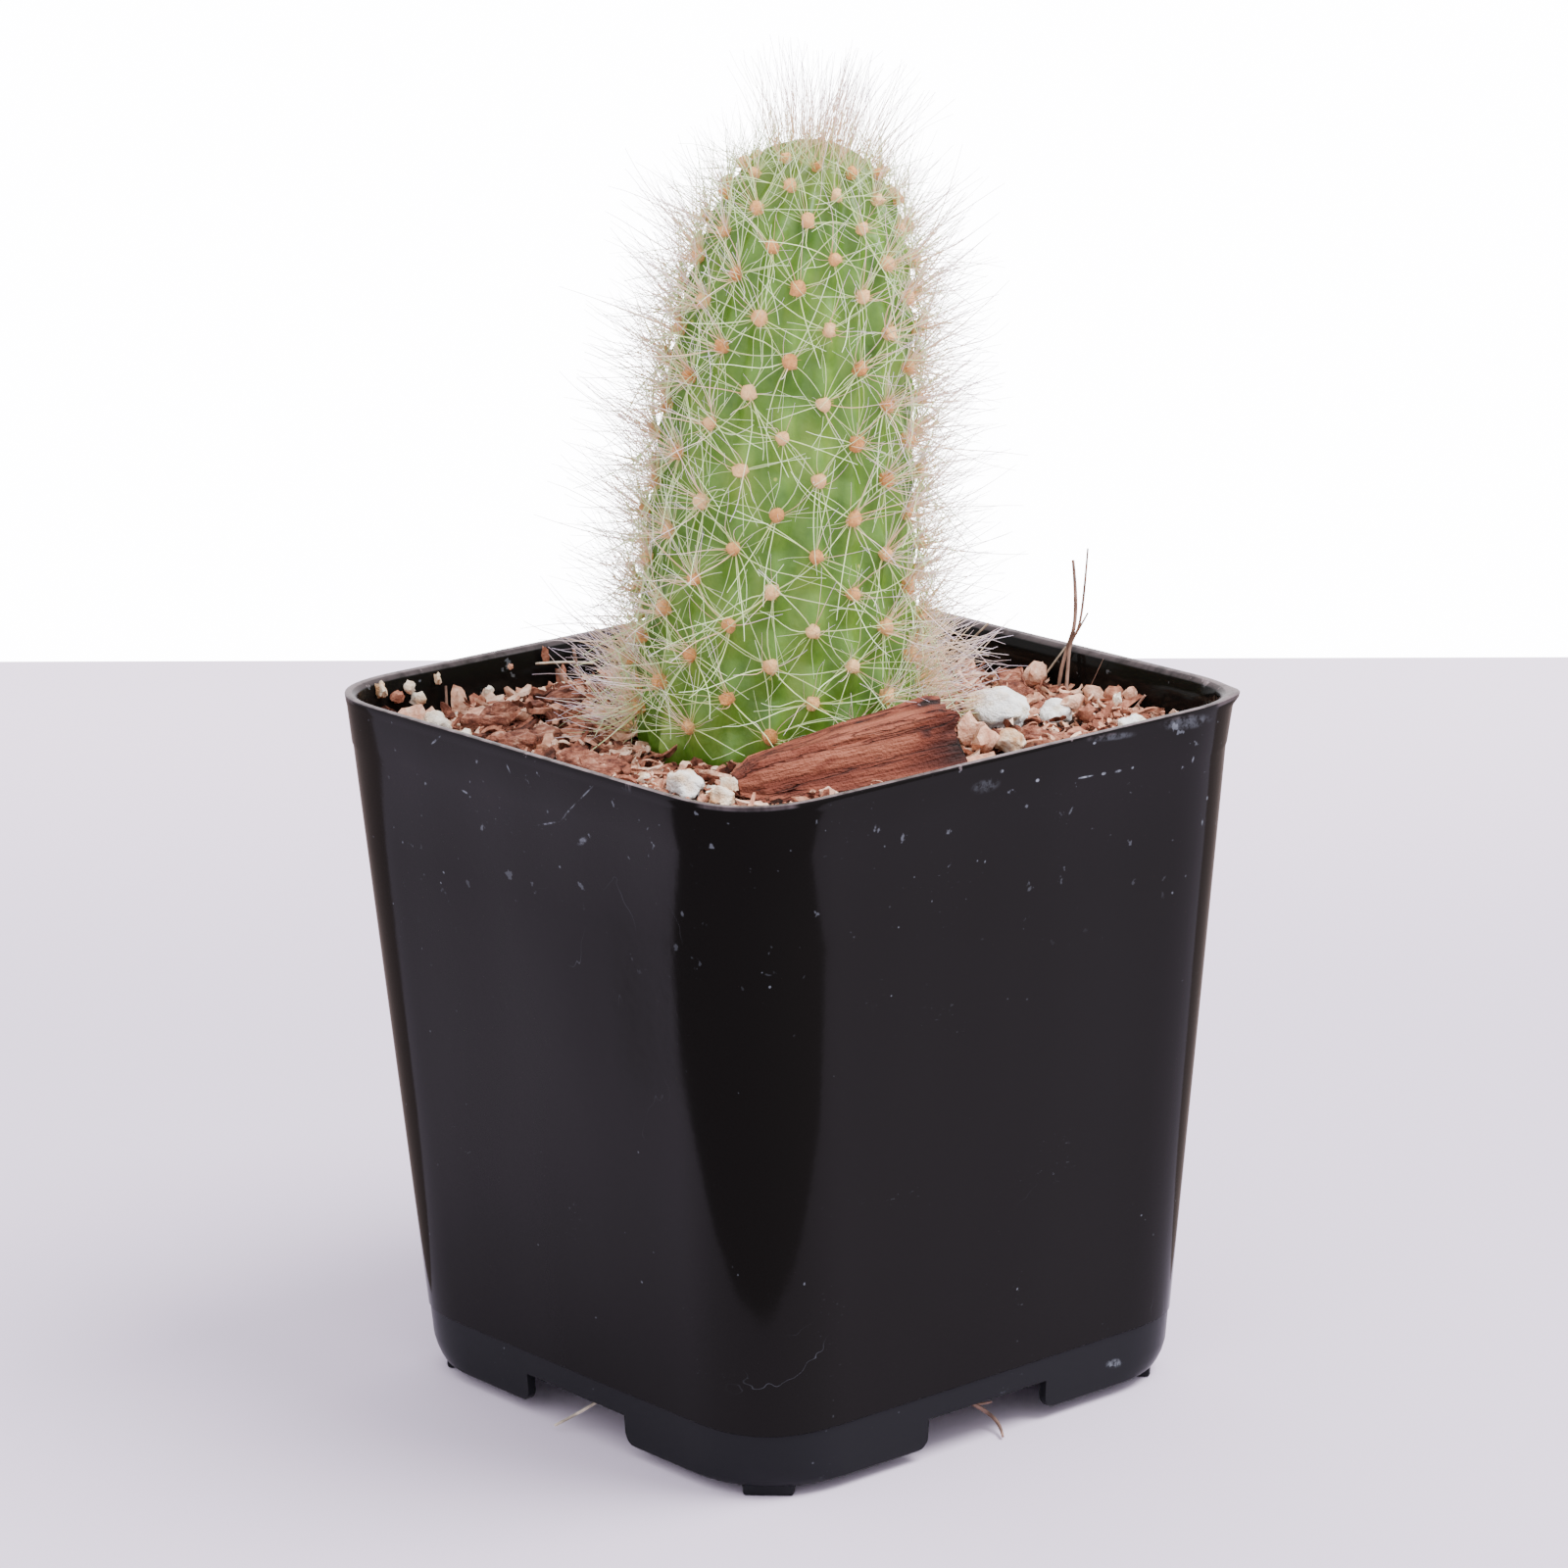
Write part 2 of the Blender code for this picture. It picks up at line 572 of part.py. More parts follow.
def make_cactus(others):
    """The stem with its areoles, its bristles, and the tuft on its growing tip, all one."""
    chance = random.Random(9)
    bristles = []
    tuft = make_tuft(chance, bristles)
    bm = make_stem()
    buttons = raise_buttons(bm)
    trees = [world_tree(other) for other in others] + [BVHTree.FromBMesh(bm)]
    for button in buttons:
        for face in chance.sample(button, BRISTLES_PER_AREOLE):
            scatter = Vector([chance.uniform(-1, 1) for _ in range(3)]) * BRISTLE_SCATTER
            aims = [face.normal + scatter + UPRIGHT * lift for lift in BRISTLE_LIFTS]
            raise_bristle(bm, face, BRISTLE_INSET, aims, chance.uniform(*BRISTLE_LENGTH), trees, bristles)
    cactus = add("cactus", bm, material=paint("cactus flesh", (0.20, 0.36, 0.075), 0.5), smooth=60)
    boolean(cactus, tuft, "UNION", solver="MANIFOLD")
    return cactus


def lay(piece, place, turn, tip, height):
    """Set a loose piece down in the mix, turned and tipped."""
    x, y = place
    middle = mix_height(x, y) + height * (0.5 - PIECE_SUNK)
    piece.matrix_world = (Matrix.Translation((x, y, middle)) @ Matrix.Rotation(math.radians(turn), 4, "Z")
                          @ Matrix.Rotation(math.radians(tip), 4, "Y"))


def make_perlite(name, place, size, turn, tip):
    """A popped, knobbly grain."""
    bm = bmesh.new()
    bmesh.ops.create_icosphere(bm, subdivisions=2, radius=0.5)
    offset = Vector((size[0] * 3000, place[0] * 900, place[1] * 900))
    for vert in bm.verts:
        knob = 1 + 0.42 * noise.noise(vert.co * 3.2 + offset)
        vert.co = Vector([c * s * knob for c, s in zip(vert.co, size)])
    piece = add(name, bm, material=paint(name, (0.78, 0.74, 0.66), 0.85), smooth=35)
    lay(piece, place, turn, tip, size[2])
    return piece


def bark_shape(cuts, section, length, seed):
    """A block split along its grain: section(share) gives (width, height) along the length."""
    bm = bmesh.new()
    bmesh.ops.create_cube(bm, size=1.0)
    bmesh.ops.subdivide_edges(bm, edges=bm.edges, cuts=cuts, use_grid_fill=True)
    for vert in bm.verts:
        share = vert.co.x + 0.5
        width, height = section(share)
        grain = noise.noise(Vector((share * 1.5, vert.co.y * 5.0 + seed, vert.co.z * 5.0)))
        ragged = noise.noise(Vector((seed, vert.co.y * 7.0, vert.co.z * 7.0)))
        swell = 1 + 0.20 * grain
        at_end = abs(vert.co.x) > 0.499
        along = vert.co.x * length + (0.07 * length * ragged if at_end else 0.0)
        vert.co = Vector((along, vert.co.y * width * swell, vert.co.z * height * swell))
    return bm


def make_chip(name, place, size, turn, tip):
    """A small flake of bark, narrower at one end and thinner at the other."""
    def section(share):
        return size[1] * (1 - 0.3 * share), size[2] * (0.7 + 0.3 * share)

    piece = add(name, bark_shape(2, section, size[0], place[0] * 700),
                material=paint(name, (0.20, 0.085, 0.050), 0.9), smooth=30)
    lay(piece, place, turn, tip, size[2])
    return piece


def make_chunk():
    """The large wedge of bark in front of the stem."""
    def section(share):
        return [thin + (thick - thin) * share ** 0.8 for thin, thick in zip(CHUNK_THIN, CHUNK_THICK)]

    direction = CHUNK_THICK_END - CHUNK_THIN_END
    piece = add("bark_chunk", bark_shape(4, section, direction.length, 4.0),
                material=paint("bark chunk", (0.24, 0.055, 0.030), 0.85), smooth=30)
    piece.matrix_world = (Matrix.Translation((CHUNK_THIN_END + CHUNK_THICK_END) / 2)
                          @ direction.to_track_quat("X", "Z").to_matrix().to_4x4())
    return piece


def tube(name, path, radius, collection=parts, material=None):
    """A thin round stem along a smooth path, as a closed mesh."""
    curve = bpy.data.curves.new(name, "CURVE")
    curve.dimensions = "3D"
    curve.bevel_depth = radius
    curve.bevel_resolution = 1
    curve.use_fill_caps = True
    curve.resolution_u = curve.render_resolution_u = 3
    spline = curve.splines.new("NURBS")
    spline.points.add(len(path) - 1)
    for point, place in zip(spline.points, path):
        point.co = (*place, 1.0)
    spline.order_u = 3
    spline.use_endpoint_u = True
    guide = bpy.data.objects.new(f"{name}_path", curve)
    collection.objects.link(guide)
    evaluated = guide.evaluated_get(bpy.context.evaluated_depsgraph_get())
    bm = bmesh.new()
    bm.from_mesh(bpy.data.meshes.new_from_object(evaluated))
    bmesh.ops.remove_doubles(bm, verts=bm.verts, dist=0.00001)
    bpy.data.objects.remove(guide, do_unlink=True)
    return add(name, bm, collection, material, smooth=60)


def make_stalk():
    """A dry forked stalk, standing in its own hole."""
    stalk = tube("dry_stalk", STALK_PATH, STALK_RADIUS, material=paint("dry stalk", (0.42, 0.26, 0.14), 0.8))
    boolean(stalk, tube("stalk_fork", STALK_FORK, 0.8 * STALK_RADIUS, cutters), "UNION")
    foot = Vector(STALK_PATH[0]) - UPRIGHT * CLEARANCE
    make_hole("stalk_hole", foot, UPRIGHT, STALK_RADIUS + 1.5 * CLEARANCE,
              STALK_RADIUS + 3 * CLEARANCE, 0.0040, 8)
    return stalk


pot = make_pot()
mix = make_mix()
loose = [make_perlite(*grain) for grain in PERLITE] + [make_chip(*chip) for chip in BARK_CHIPS]
loose.append(make_chunk())
for piece in loose:
    make_pocket(piece)
stalk = make_stalk()
for fibre, path in FIBRE_PATHS.items():
    tube(fibre, path, FIBRE_RADIUS, material=paint(fibre, (0.33, 0.12, 0.06), 0.8))

make_hole("stem_hole", stem_centre(-STEM_BURIED - CLEARANCE), UPRIGHT, BURIED_RADIUS + CLEARANCE,
          STEM_RADIUS + 4 * CLEARANCE, STEM_BURIED + 0.0030, 24)
make_cactus([pot, mix, stalk] + loose)
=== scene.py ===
import bisect
import math
import random

import bmesh
import bpy
from mathutils import Matrix, Vector, noise


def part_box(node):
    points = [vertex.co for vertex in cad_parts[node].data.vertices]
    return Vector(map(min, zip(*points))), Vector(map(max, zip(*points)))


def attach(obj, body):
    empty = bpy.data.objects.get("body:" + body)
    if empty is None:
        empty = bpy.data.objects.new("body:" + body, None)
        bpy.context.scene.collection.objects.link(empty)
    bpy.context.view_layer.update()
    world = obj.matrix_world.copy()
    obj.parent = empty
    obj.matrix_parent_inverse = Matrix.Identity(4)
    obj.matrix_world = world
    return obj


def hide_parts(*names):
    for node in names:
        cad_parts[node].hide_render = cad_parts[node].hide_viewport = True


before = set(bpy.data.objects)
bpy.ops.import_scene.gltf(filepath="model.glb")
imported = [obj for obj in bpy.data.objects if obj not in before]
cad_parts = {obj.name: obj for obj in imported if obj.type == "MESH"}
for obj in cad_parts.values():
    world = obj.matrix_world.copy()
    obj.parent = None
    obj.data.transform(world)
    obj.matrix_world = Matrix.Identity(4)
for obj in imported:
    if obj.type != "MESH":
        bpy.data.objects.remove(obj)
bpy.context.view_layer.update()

# The view: the camera looks down a little on the pot's front corner from half a metre away,
# with a long lens and the slight roll of a hand-held picture.
LOOKS_TOWARDS = math.radians(39.8862)
LOOKS_DOWN = math.radians(14.9459)
CAMERA_ROLL = math.radians(1.0703)
CAMERA_PLACE = (-0.000324, 0.0497305, 0.4996672)     # from the pot's foot, in the camera's own directions
SENSOR_WIDTH, LENS = 36.0, 133.9753                  # millimetres

camera = bpy.data.objects.new("camera", bpy.data.cameras.new("camera"))
camera.data.sensor_width = SENSOR_WIDTH
camera.data.lens = LENS
level = Matrix.Rotation(-LOOKS_TOWARDS, 4, "Z") @ Matrix.Rotation(math.pi / 2 - LOOKS_DOWN, 4, "X")
camera.matrix_world = (Matrix.Translation(level @ Vector(CAMERA_PLACE)) @ level
                       @ Matrix.Rotation(-CAMERA_ROLL, 4, "Z"))
bpy.context.scene.collection.objects.link(camera)
bpy.context.scene.camera = camera


# The pot: one thin shell of black polypropylene from an injection mould. It has a small lip
# with a thicker band under it, a low skirt round its floor, and four nubs that it stands on.
POT_HEIGHT = 0.0595
WALL_TOP, WALL_FOOT = 0.02815, 0.0241            # half the side at the lip and at the table
CORNER_TOP, CORNER_FOOT = 0.0072, 0.0070         # radius of a round corner that is cut as deeply
CORNER_REACH = 0.0096                            # how far a corner's rounding runs along each side
CORNER_STEPS, SIDE_STEPS = 20, 10
LIP, BAND = 0.00015, 0.00008                     # how far the lip and the band stand out
WALL = 0.0009
LIP_LOW = POT_HEIGHT - 0.0008
BAND_LOW = LIP_LOW - 0.0035
FLOOR_TOP, FLOOR_LOW = 0.0050, 0.0040
SKIRT_LOW, SKIRT_TURN = 0.00095, 0.0020          # the skirt's corners draw in over its last stretch
SKIRT_ROUNDING = 0.0017                          # their radius grows by this much there
FOOT_LINE, FOOT_SET = 0.0057, 0.00012            # the skirt is set in below this line
NOTCH_HALF, NOTCH_TOP, NOTCH_FLARE = 0.0065, 0.0036, 0.0012
NUB = (0.0022, 0.0042, 0.0016)
NUB_OUT, NUB_BEVEL = 0.0290, 0.0003
DRAIN_RADIUS, DRAIN_OUT = 0.0033, 0.0168
CUT = 0.004                                      # how deep the notches and drains are cut
SIDE_BULGE = 0.00015
EAR, EAR_HALF = 0.0006, 0.0016                   # a bent flap of the lip at the right corner
EAR_LOW, EAR_BEND = LIP_LOW - 0.0006, 0.0010     # it leans out from here, over this height


class Wire:
    """A socket of a finish; arithmetic on it adds Math nodes."""

    def __init__(self, finish, socket):
        self.finish = finish
        self.socket = socket

    def math(self, operation, *values):
        return self.finish.node("ShaderNodeMath", {"operation": operation}, dict(enumerate((self, *values))))

    def __add__(self, other):
        return self.math("ADD", other)

    def __sub__(self, other):
        return self.math("SUBTRACT", other)

    def __rsub__(self, other):
        return (self * -1.0).math("ADD", other)

    def __mul__(self, other):
        return self.math("MULTIPLY", other)

    def __abs__(self):
        return self.math("ABSOLUTE")

    __radd__ = __add__
    __rmul__ = __mul__


class Finish:
    """A material: its Principled shader and the nodes that feed it."""

    def __init__(self, name, colour, roughness, **constants):
        self.material = bpy.data.materials.new(name)
        self.material.use_nodes = True
        self.tree = self.material.node_tree
        self.shader = self.tree.nodes["Principled BSDF"]
        self.set("Base Color", (*colour, 1.0))
        self.set("Roughness", roughness)
        for socket, value in constants.items():
            self.set(socket.replace("_", " "), value)
        self.place = self.node("ShaderNodeTexCoord", {}, {}, "Object")

    def plug(self, socket, value):
        if isinstance(value, Wire):
            self.tree.links.new(value.socket, socket)
        else:
            socket.default_value = value

    def set(self, socket, value):
        self.plug(self.shader.inputs[socket], value)

    def node(self, kind, settings, inputs, out=0):
        """Add any node: its settings first, then the values or wires of its sockets."""
        node = self.tree.nodes.new(kind)
        for name, value in settings.items():
            if name == "stops":
                ramp = node.color_ramp.elements
                while len(ramp) < len(value):
                    ramp.new(0.5)
                for stop, (position, colour) in zip(ramp, value):
                    stop.position = position
                    stop.color = (*colour, 1.0)
            else:
                setattr(node, name, value)
        for key, value in inputs.items():
            self.plug(node.inputs[key], value)
        return Wire(self, node.outputs[out])

    def grain(self, scale, detail=2.0, stretch=(1, 1, 1), roughness=0.5, distortion=0.0, where=None):
        """Cloudy noise with so many lumps to a metre; a large stretch makes it finer that way."""
        spot = self.node("ShaderNodeMapping", {}, {"Vector": where or self.place, "Scale": stretch})
        return self.node("ShaderNodeTexNoise", {}, {"Vector": spot, "Scale": scale, "Detail": detail,
                                                     "Roughness": roughness, "Distortion": distortion})

    def cells(self, scale, stretch=(1, 1, 1)):
        """Distance to the nearest of scattered points."""
        spot = self.node("ShaderNodeMapping", {}, {"Vector": self.place, "Scale": stretch})
        return self.node("ShaderNodeTexVoronoi", {}, {"Vector": spot, "Scale": scale}, "Distance")

    def axis(self, name, where=None):
        return self.node("ShaderNodeSeparateXYZ", {}, {0: where or self.place}, name)

    def stored(self, name):
        """A number that the mesh carries at its corners."""
        return self.node("ShaderNodeAttribute", {"attribute_name": name}, {}, "Fac")

    def ease(self, value, low, high):
        """0 below low and 1 above high, smooth between them; low may be the larger one."""
        return self.node("ShaderNodeMapRange", {"interpolation_type": "SMOOTHSTEP"},
                         {"Value": value, "From Min": low, "From Max": high})

    def mix(self, share, one, other):
        """One colour where share is 0, the other where it is 1."""
        colours = [(*c, 1.0) if isinstance(c, tuple) else c for c in (one, other)]
        return self.node("ShaderNodeMix", {"data_type": "RGBA"}, {0: share, 6: colours[0], 7: colours[1]}, 2)

    def ramp(self, value, stops):
        return self.node("ShaderNodeValToRGB", {"stops": stops}, {0: value})

    def paint(self, value, stops):
        """Colour the surface by a ramp over a value."""
        self.set("Base Color", self.ramp(value, stops))

    def mark(self, place, radii, turn=(0, 0, 0)):
        """1 inside a soft-edged ellipsoid, 0 outside it."""
        spot = self.node("ShaderNodeMapping", {"vector_type": "TEXTURE"}, {
            "Vector": self.place, "Location": place, "Rotation": turn, "Scale": radii})
        away = self.node("ShaderNodeVectorMath", {"operation": "LENGTH"}, {0: spot}, "Value")
        return self.ease(away, 1.0, 0.4)

    def relief(self, height, depth):
        """Raise the surface by height times depth, as a bump."""
        bump = {"Height": height, "Distance": depth, "Strength": 1.0}
        self.set("Normal", self.node("ShaderNodeBump", {}, bump))


def close_up(bm, near):
    """Merge corners that lie this near to each other, and fill the holes that are left."""
    bmesh.ops.remove_doubles(bm, verts=bm.verts, dist=near)
    bmesh.ops.holes_fill(bm, edges=[edge for edge in bm.edges if edge.is_boundary], sides=0)


def wrapped(columns, rows, place):
    """A grid rolled into a tube; place(column, row) says where each of its corners goes."""
    bm = bmesh.new()
    bmesh.ops.create_grid(bm, x_segments=columns, y_segments=rows, size=0.5)
    for vert in bm.verts:
        vert.co = place(round((vert.co.x + 0.5) * columns) % columns, round((vert.co.y + 0.5) * rows))
    close_up(bm, 0.000001)
    return bm


def outwards(bm):
    """Turn every face of a closed bmesh outwards."""
    bmesh.ops.recalc_face_normals(bm, faces=bm.faces)
    if bm.calc_volume(signed=True) < 0:
        bmesh.ops.reverse_faces(bm, faces=bm.faces)


def as_piece(name, bm, smooth):
    """Make a bmesh an object; edges sharper than smooth stay sharp."""
    mesh = bpy.data.meshes.new(name)
    bm.to_mesh(mesh)
    bm.free()
    mesh.shade_smooth()
    mesh.set_sharp_from_angle(angle=math.radians(smooth))
    piece = bpy.data.objects.new(name, mesh)
    bpy.context.scene.collection.objects.link(piece)
    return piece


def solid(name, bm, smooth=35):
    """Make a closed bmesh an object with its faces outwards."""
    outwards(bm)
    return as_piece(name, bm, smooth)


def finished_mesh(piece):
    """A mesh of the piece with its modifiers or its curve worked out."""
    return bpy.data.meshes.new_from_object(piece.evaluated_get(bpy.context.evaluated_depsgraph_get()))


def combine(piece, tool, operation):
    """Cut or join a piece with a tool, and drop the tool."""
    modifier = piece.modifiers.new("combine", "BOOLEAN")
    modifier.operation = operation
    modifier.solver = "EXACT"
    modifier.object = tool
    mesh = finished_mesh(piece)
    piece.modifiers.clear()
    piece.data = mesh
    bpy.data.objects.remove(tool)


def settle(piece, finish, slot, *stands_for):
    """Give a piece its finish and its place in the object."""
    piece.data.materials.clear()
    piece.data.materials.append(finish.material)
    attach(piece, "root")
    if stands_for:
        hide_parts(*stands_for)


def on_pot(step, z, out):
    """A point of the pot's outline: step counts round it, out is measured from the wall."""
    quarter, step = divmod(step, CORNER_STEPS + SIDE_STEPS)
    share = z / POT_HEIGHT
    half = WALL_FOOT + (WALL_TOP - WALL_FOOT) * share + out
    radius = CORNER_FOOT + (CORNER_TOP - CORNER_FOOT) * share + out
    radius += SKIRT_ROUNDING * max(0.0, 1 - (z - SKIRT_LOW) / SKIRT_TURN) ** 1.6
    reach = CORNER_REACH + out
    straight = half - reach
    if step <= CORNER_STEPS:
        angle = math.radians(90) * step / CORNER_STEPS
        power = -math.log(2) / math.log(1 - radius / reach * (1 - math.sqrt(0.5)))
        length = reach * (abs(math.cos(angle)) ** power + abs(math.sin(angle)) ** power) ** (-1 / power)
        spot = Vector((straight + length * math.cos(angle), straight + length * math.sin(angle), z))
    else:
        along = (step - CORNER_STEPS) / SIDE_STEPS
        bulge = SIDE_BULGE * math.sin(math.pi * along) ** 2 * math.sin(math.pi * share)
        spot = Vector((straight * (1 - 2 * along), half + bulge, z))
    spot = Matrix.Rotation(math.radians(90) * quarter, 3, "Z") @ spot
    beside = (spot.x + spot.y) / math.sqrt(2)
    if spot.x > abs(beside) and out > -WALL / 2:
        lift = min(1.0, max(0.0, (z - EAR_LOW) / EAR_BEND))
        spot += Vector((1, -1, 0.25)) * EAR * math.sqrt(0.5) * lift * math.exp(-(beside / EAR_HALF) ** 2)
    return spot


SOFT = 0.00010                                    # radius of the lip's outer edge
CHAMFER = 0.00044                                 # its inner edge is rounded off more
# Height and distance from the wall: up the inside, over the lip, down the outside and up inside
# the skirt. A cap over each end makes the floor.
pot_profile = [
    (FLOOR_TOP, -WALL), (0.020, -WALL), (0.036, -WALL), (0.050, -WALL), (0.0575, -WALL),
    (POT_HEIGHT - CHAMFER, -WALL), (POT_HEIGHT - 0.62 * CHAMFER, -WALL + 0.2 * CHAMFER),
    (POT_HEIGHT - 0.2 * CHAMFER, -WALL + 0.75 * CHAMFER), (POT_HEIGHT, -WALL + 1.4 * CHAMFER),
    (POT_HEIGHT, LIP - SOFT), (POT_HEIGHT - 0.3 * SOFT, LIP - 0.3 * SOFT), (POT_HEIGHT - SOFT, LIP),
    (LIP_LOW + 0.0003, LIP), (LIP_LOW, LIP - 0.00003), (LIP_LOW - 0.0003, BAND + 0.00001),
    (BAND_LOW + 0.00015, BAND), (BAND_LOW - 0.00015, 0.0),
    (0.047, 0.0), (0.040, 0.0), (0.032, 0.0), (0.024, 0.0), (0.016, 0.0), (0.010, 0.0),
    (FOOT_LINE + 0.0001, 0.0), (FOOT_LINE, -FOOT_SET),
    (SKIRT_LOW + SKIRT_TURN, -FOOT_SET), (SKIRT_LOW + 0.6 * SKIRT_TURN, -FOOT_SET),
    (SKIRT_LOW + 0.3 * SKIRT_TURN, -FOOT_SET), (SKIRT_LOW + 0.00015, -0.00016), (SKIRT_LOW, -0.00030),
    (SKIRT_LOW, -WALL), (SKIRT_LOW + SKIRT_TURN, -WALL), (FLOOR_LOW, -WALL),
]
pot = solid("pot_shell", wrapped(4 * (CORNER_STEPS + SIDE_STEPS), len(pot_profile) - 1,
                                 lambda step, row: on_pot(step, *pot_profile[row])))
nubs, openings = bmesh.new(), bmesh.new()
drains = [(0.0, 0.0)]
for quarter in range(4):
    turned_by = Matrix.Rotation(math.radians(90) * quarter, 4, "Z")
    nub = turned_by @ Matrix.Rotation(math.radians(45), 4, "Z") @ Matrix.Translation((NUB_OUT, 0, NUB[2] / 2))
    bmesh.ops.create_cube(nubs, matrix=nub @ Matrix.Diagonal((*NUB, 1)))
    outline = [(-NOTCH_HALF, NOTCH_TOP), (NOTCH_HALF, NOTCH_TOP)]
    for step in range(7):
        angle = math.radians(15 * step)
        outline.append((NOTCH_HALF + NOTCH_FLARE * (1 - math.cos(angle)),
                        SKIRT_LOW + NOTCH_FLARE * (1 - math.sin(angle))))
    outline.append((outline[-1][0], 0.0))
    outline += [(-y, z) for y, z in reversed(outline[2:])]
    notch = bmesh.ops.contextual_create(openings, geom=[openings.verts.new(
        turned_by @ Vector((WALL_FOOT - CUT / 2, y, z))) for y, z in outline])["faces"]
    block = bmesh.ops.extrude_face_region(openings, geom=notch)["geom"]
    bmesh.ops.translate(openings, vec=turned_by @ Vector((CUT, 0, 0)),
                        verts=[item for item in block if isinstance(item, bmesh.types.BMVert)])
    drains.append((DRAIN_OUT * math.cos(quarter * math.pi / 2), DRAIN_OUT * math.sin(quarter * math.pi / 2)))
for x, y in drains:
    bmesh.ops.create_cone(openings, cap_ends=True, segments=32, radius1=DRAIN_RADIUS, radius2=DRAIN_RADIUS,
                          depth=CUT, matrix=Matrix.Translation((x, y, FLOOR_LOW)))
bmesh.ops.bevel(nubs, geom=nubs.edges[:], offset=NUB_BEVEL, segments=2, profile=0.5, affect="EDGES",
                material=-1)
combine(pot, solid("nubs", nubs), "UNION")
combine(pot, solid("openings", openings), "DIFFERENCE")
pot.data.shade_smooth()
pot.data.set_sharp_from_angle(angle=math.radians(32))

plastic = Finish("black polypropylene", (0.010, 0.010, 0.011), 0.2, Specular_IOR_Level=0.053)
z = plastic.axis("Z")
hairline = plastic.ease(abs(plastic.grain(95, 3, (1, 1, 0.7), distortion=1.2) - 0.5), 0.0022, 0.0)
hairline = hairline * plastic.ease(plastic.grain(60, 1, (1, 1, 1.3)), 0.66, 0.76)
rubs = plastic.ease(plastic.grain(1500, 3, (1, 1, 3), roughness=0.7), 0.66, 0.74)
rubs = rubs * plastic.ease(plastic.grain(130, 2), 0.58, 0.74)
specks = plastic.ease(plastic.cells(900) + plastic.grain(3000, 1) * 0.3, 0.25, 0.18)
specks = specks * plastic.ease(plastic.grain(300, 1), 0.62, 0.70)
outermost = abs(plastic.axis("X")).math("MAXIMUM", abs(plastic.axis("Y")))
within = plastic.ease(outermost, WALL_TOP - 0.0001, WALL_TOP - 0.0003)
rounding = plastic.ease(z, POT_HEIGHT - CHAMFER, POT_HEIGHT - 0.7 * CHAMFER)
rim = plastic.ease(z, POT_HEIGHT - 0.00008, POT_HEIGHT - 0.00002) + within * 0.36 * rounding
scuffed = plastic.ease(plastic.grain(420, 4, (1, 1, 0.3), roughness=0.65), 0.34, 0.60)
rim = rim.math("MINIMUM", 1.0) * (scuffed * 0.6 + 0.3)
chips = plastic.ease(plastic.grain(260, 4, (1, 1, 0.4), roughness=0.7), 0.64, 0.70)
chips = chips * plastic.ease(z, POT_HEIGHT - 0.0008, POT_HEIGHT - 0.0001)
flecks = plastic.ease(plastic.grain(650, 3, roughness=0.6), 0.675, 0.715) * plastic.ease(z, 0.040, 0.056)
worn = hairline * 0.22 + rubs * 0.2 + specks * 0.3 + flecks * 0.22 + rim * 0.43 + chips * 0.2
patchy = plastic.ease(plastic.grain(1100, 4, roughness=0.75), 0.40, 0.62)
# Marks on the two walls in view: place along the wall and height, half length, half height,
# slope in degrees and strength; lengths in millimetres
LEFT_MARKS = (
    (10.9, 58.3, 1.1, 0.12, -34, 0.35), (-3.3, 54.0, 1.8, 0.1, -17, 0.3), (-6.2, 55.6, 1.7, 0.1, -40, 0.25),
    (-8.7, 57.6, 1.6, 0.09, -38, 0.22), (18.2, 53.7, 0.15, 0.15, 0, 0.4), (-2.6, 58.0, 0.3, 0.12, 40, 0.5),
    (7.6, 54.5, 0.55, 0.12, 10, 0.35), (1.3, 57.7, 0.5, 0.12, 60, 0.25), (-7.6, 53.4, 0.9, 0.35, -30, 0.22),
)
RIGHT_MARKS = (
    (7.7, 56.0, 1.1, 0.1, -2, 0.6), (9.8, 55.9, 0.3, 0.16, 0, 0.6), (11.4, 55.8, 0.45, 0.14, 0, 0.4),
    (13.0, 55.8, 0.2, 0.14, 0, 0.4), (18.8, 54.7, 0.22, 0.18, 0, 0.9), (2.5, 56.7, 0.25, 0.18, 0, 0.5),
    (6.4, 53.4, 0.45, 0.15, 50, 0.3), (19.9, 55.2, 0.14, 0.35, 0, 0.3), (22.1, 51.4, 0.16, 0.22, 0, 0.3),
    (21.6, 49.4, 0.14, 0.4, 0, 0.3), (-1.4, 58.2, 0.25, 0.18, 0, 0.4), (8.6, 58.7, 0.22, 0.14, 0, 0.6),
    (18.9, 58.6, 3.6, 0.75, -6, 0.12), (10.4, 58.9, 3.4, 0.4, -6, 0.1), (-3.1, 57.3, 1.9, 0.7, 0, 0.07),
    (14.3, 3.1, 1.2, 0.5, -10, 0.3), (6.2, 2.4, 0.25, 0.9, 10, 0.25),
)
MARK_DEPTH, MARK_STRENGTH = 0.0012, 1.3
for side, marks in (("left", LEFT_MARKS), ("right", RIGHT_MARKS)):
    for along, height, half_length, half_height, slope, strength in marks:
        out = WALL_FOOT + (WALL_TOP - WALL_FOOT) * height / 1000 / POT_HEIGHT
        place = Vector((-out, along / 1000, height / 1000))
        radii = Vector((MARK_DEPTH, half_length / 1000, half_height / 1000))
        turn = (math.radians(slope), 0, 0)
        if side == "right":
            place, radii, turn = place.yxz, radii.yxz, (0, math.radians(-slope), 0)
        worn = worn + plastic.mark(place, radii, turn) * patchy * (MARK_STRENGTH * strength)
skirt = plastic.ease(z, FOOT_LINE + 0.0001, FOOT_LINE - 0.0001)
black = plastic.mix(skirt, (0.0060, 0.0054, 0.0050), (0.0100, 0.0102, 0.0116))
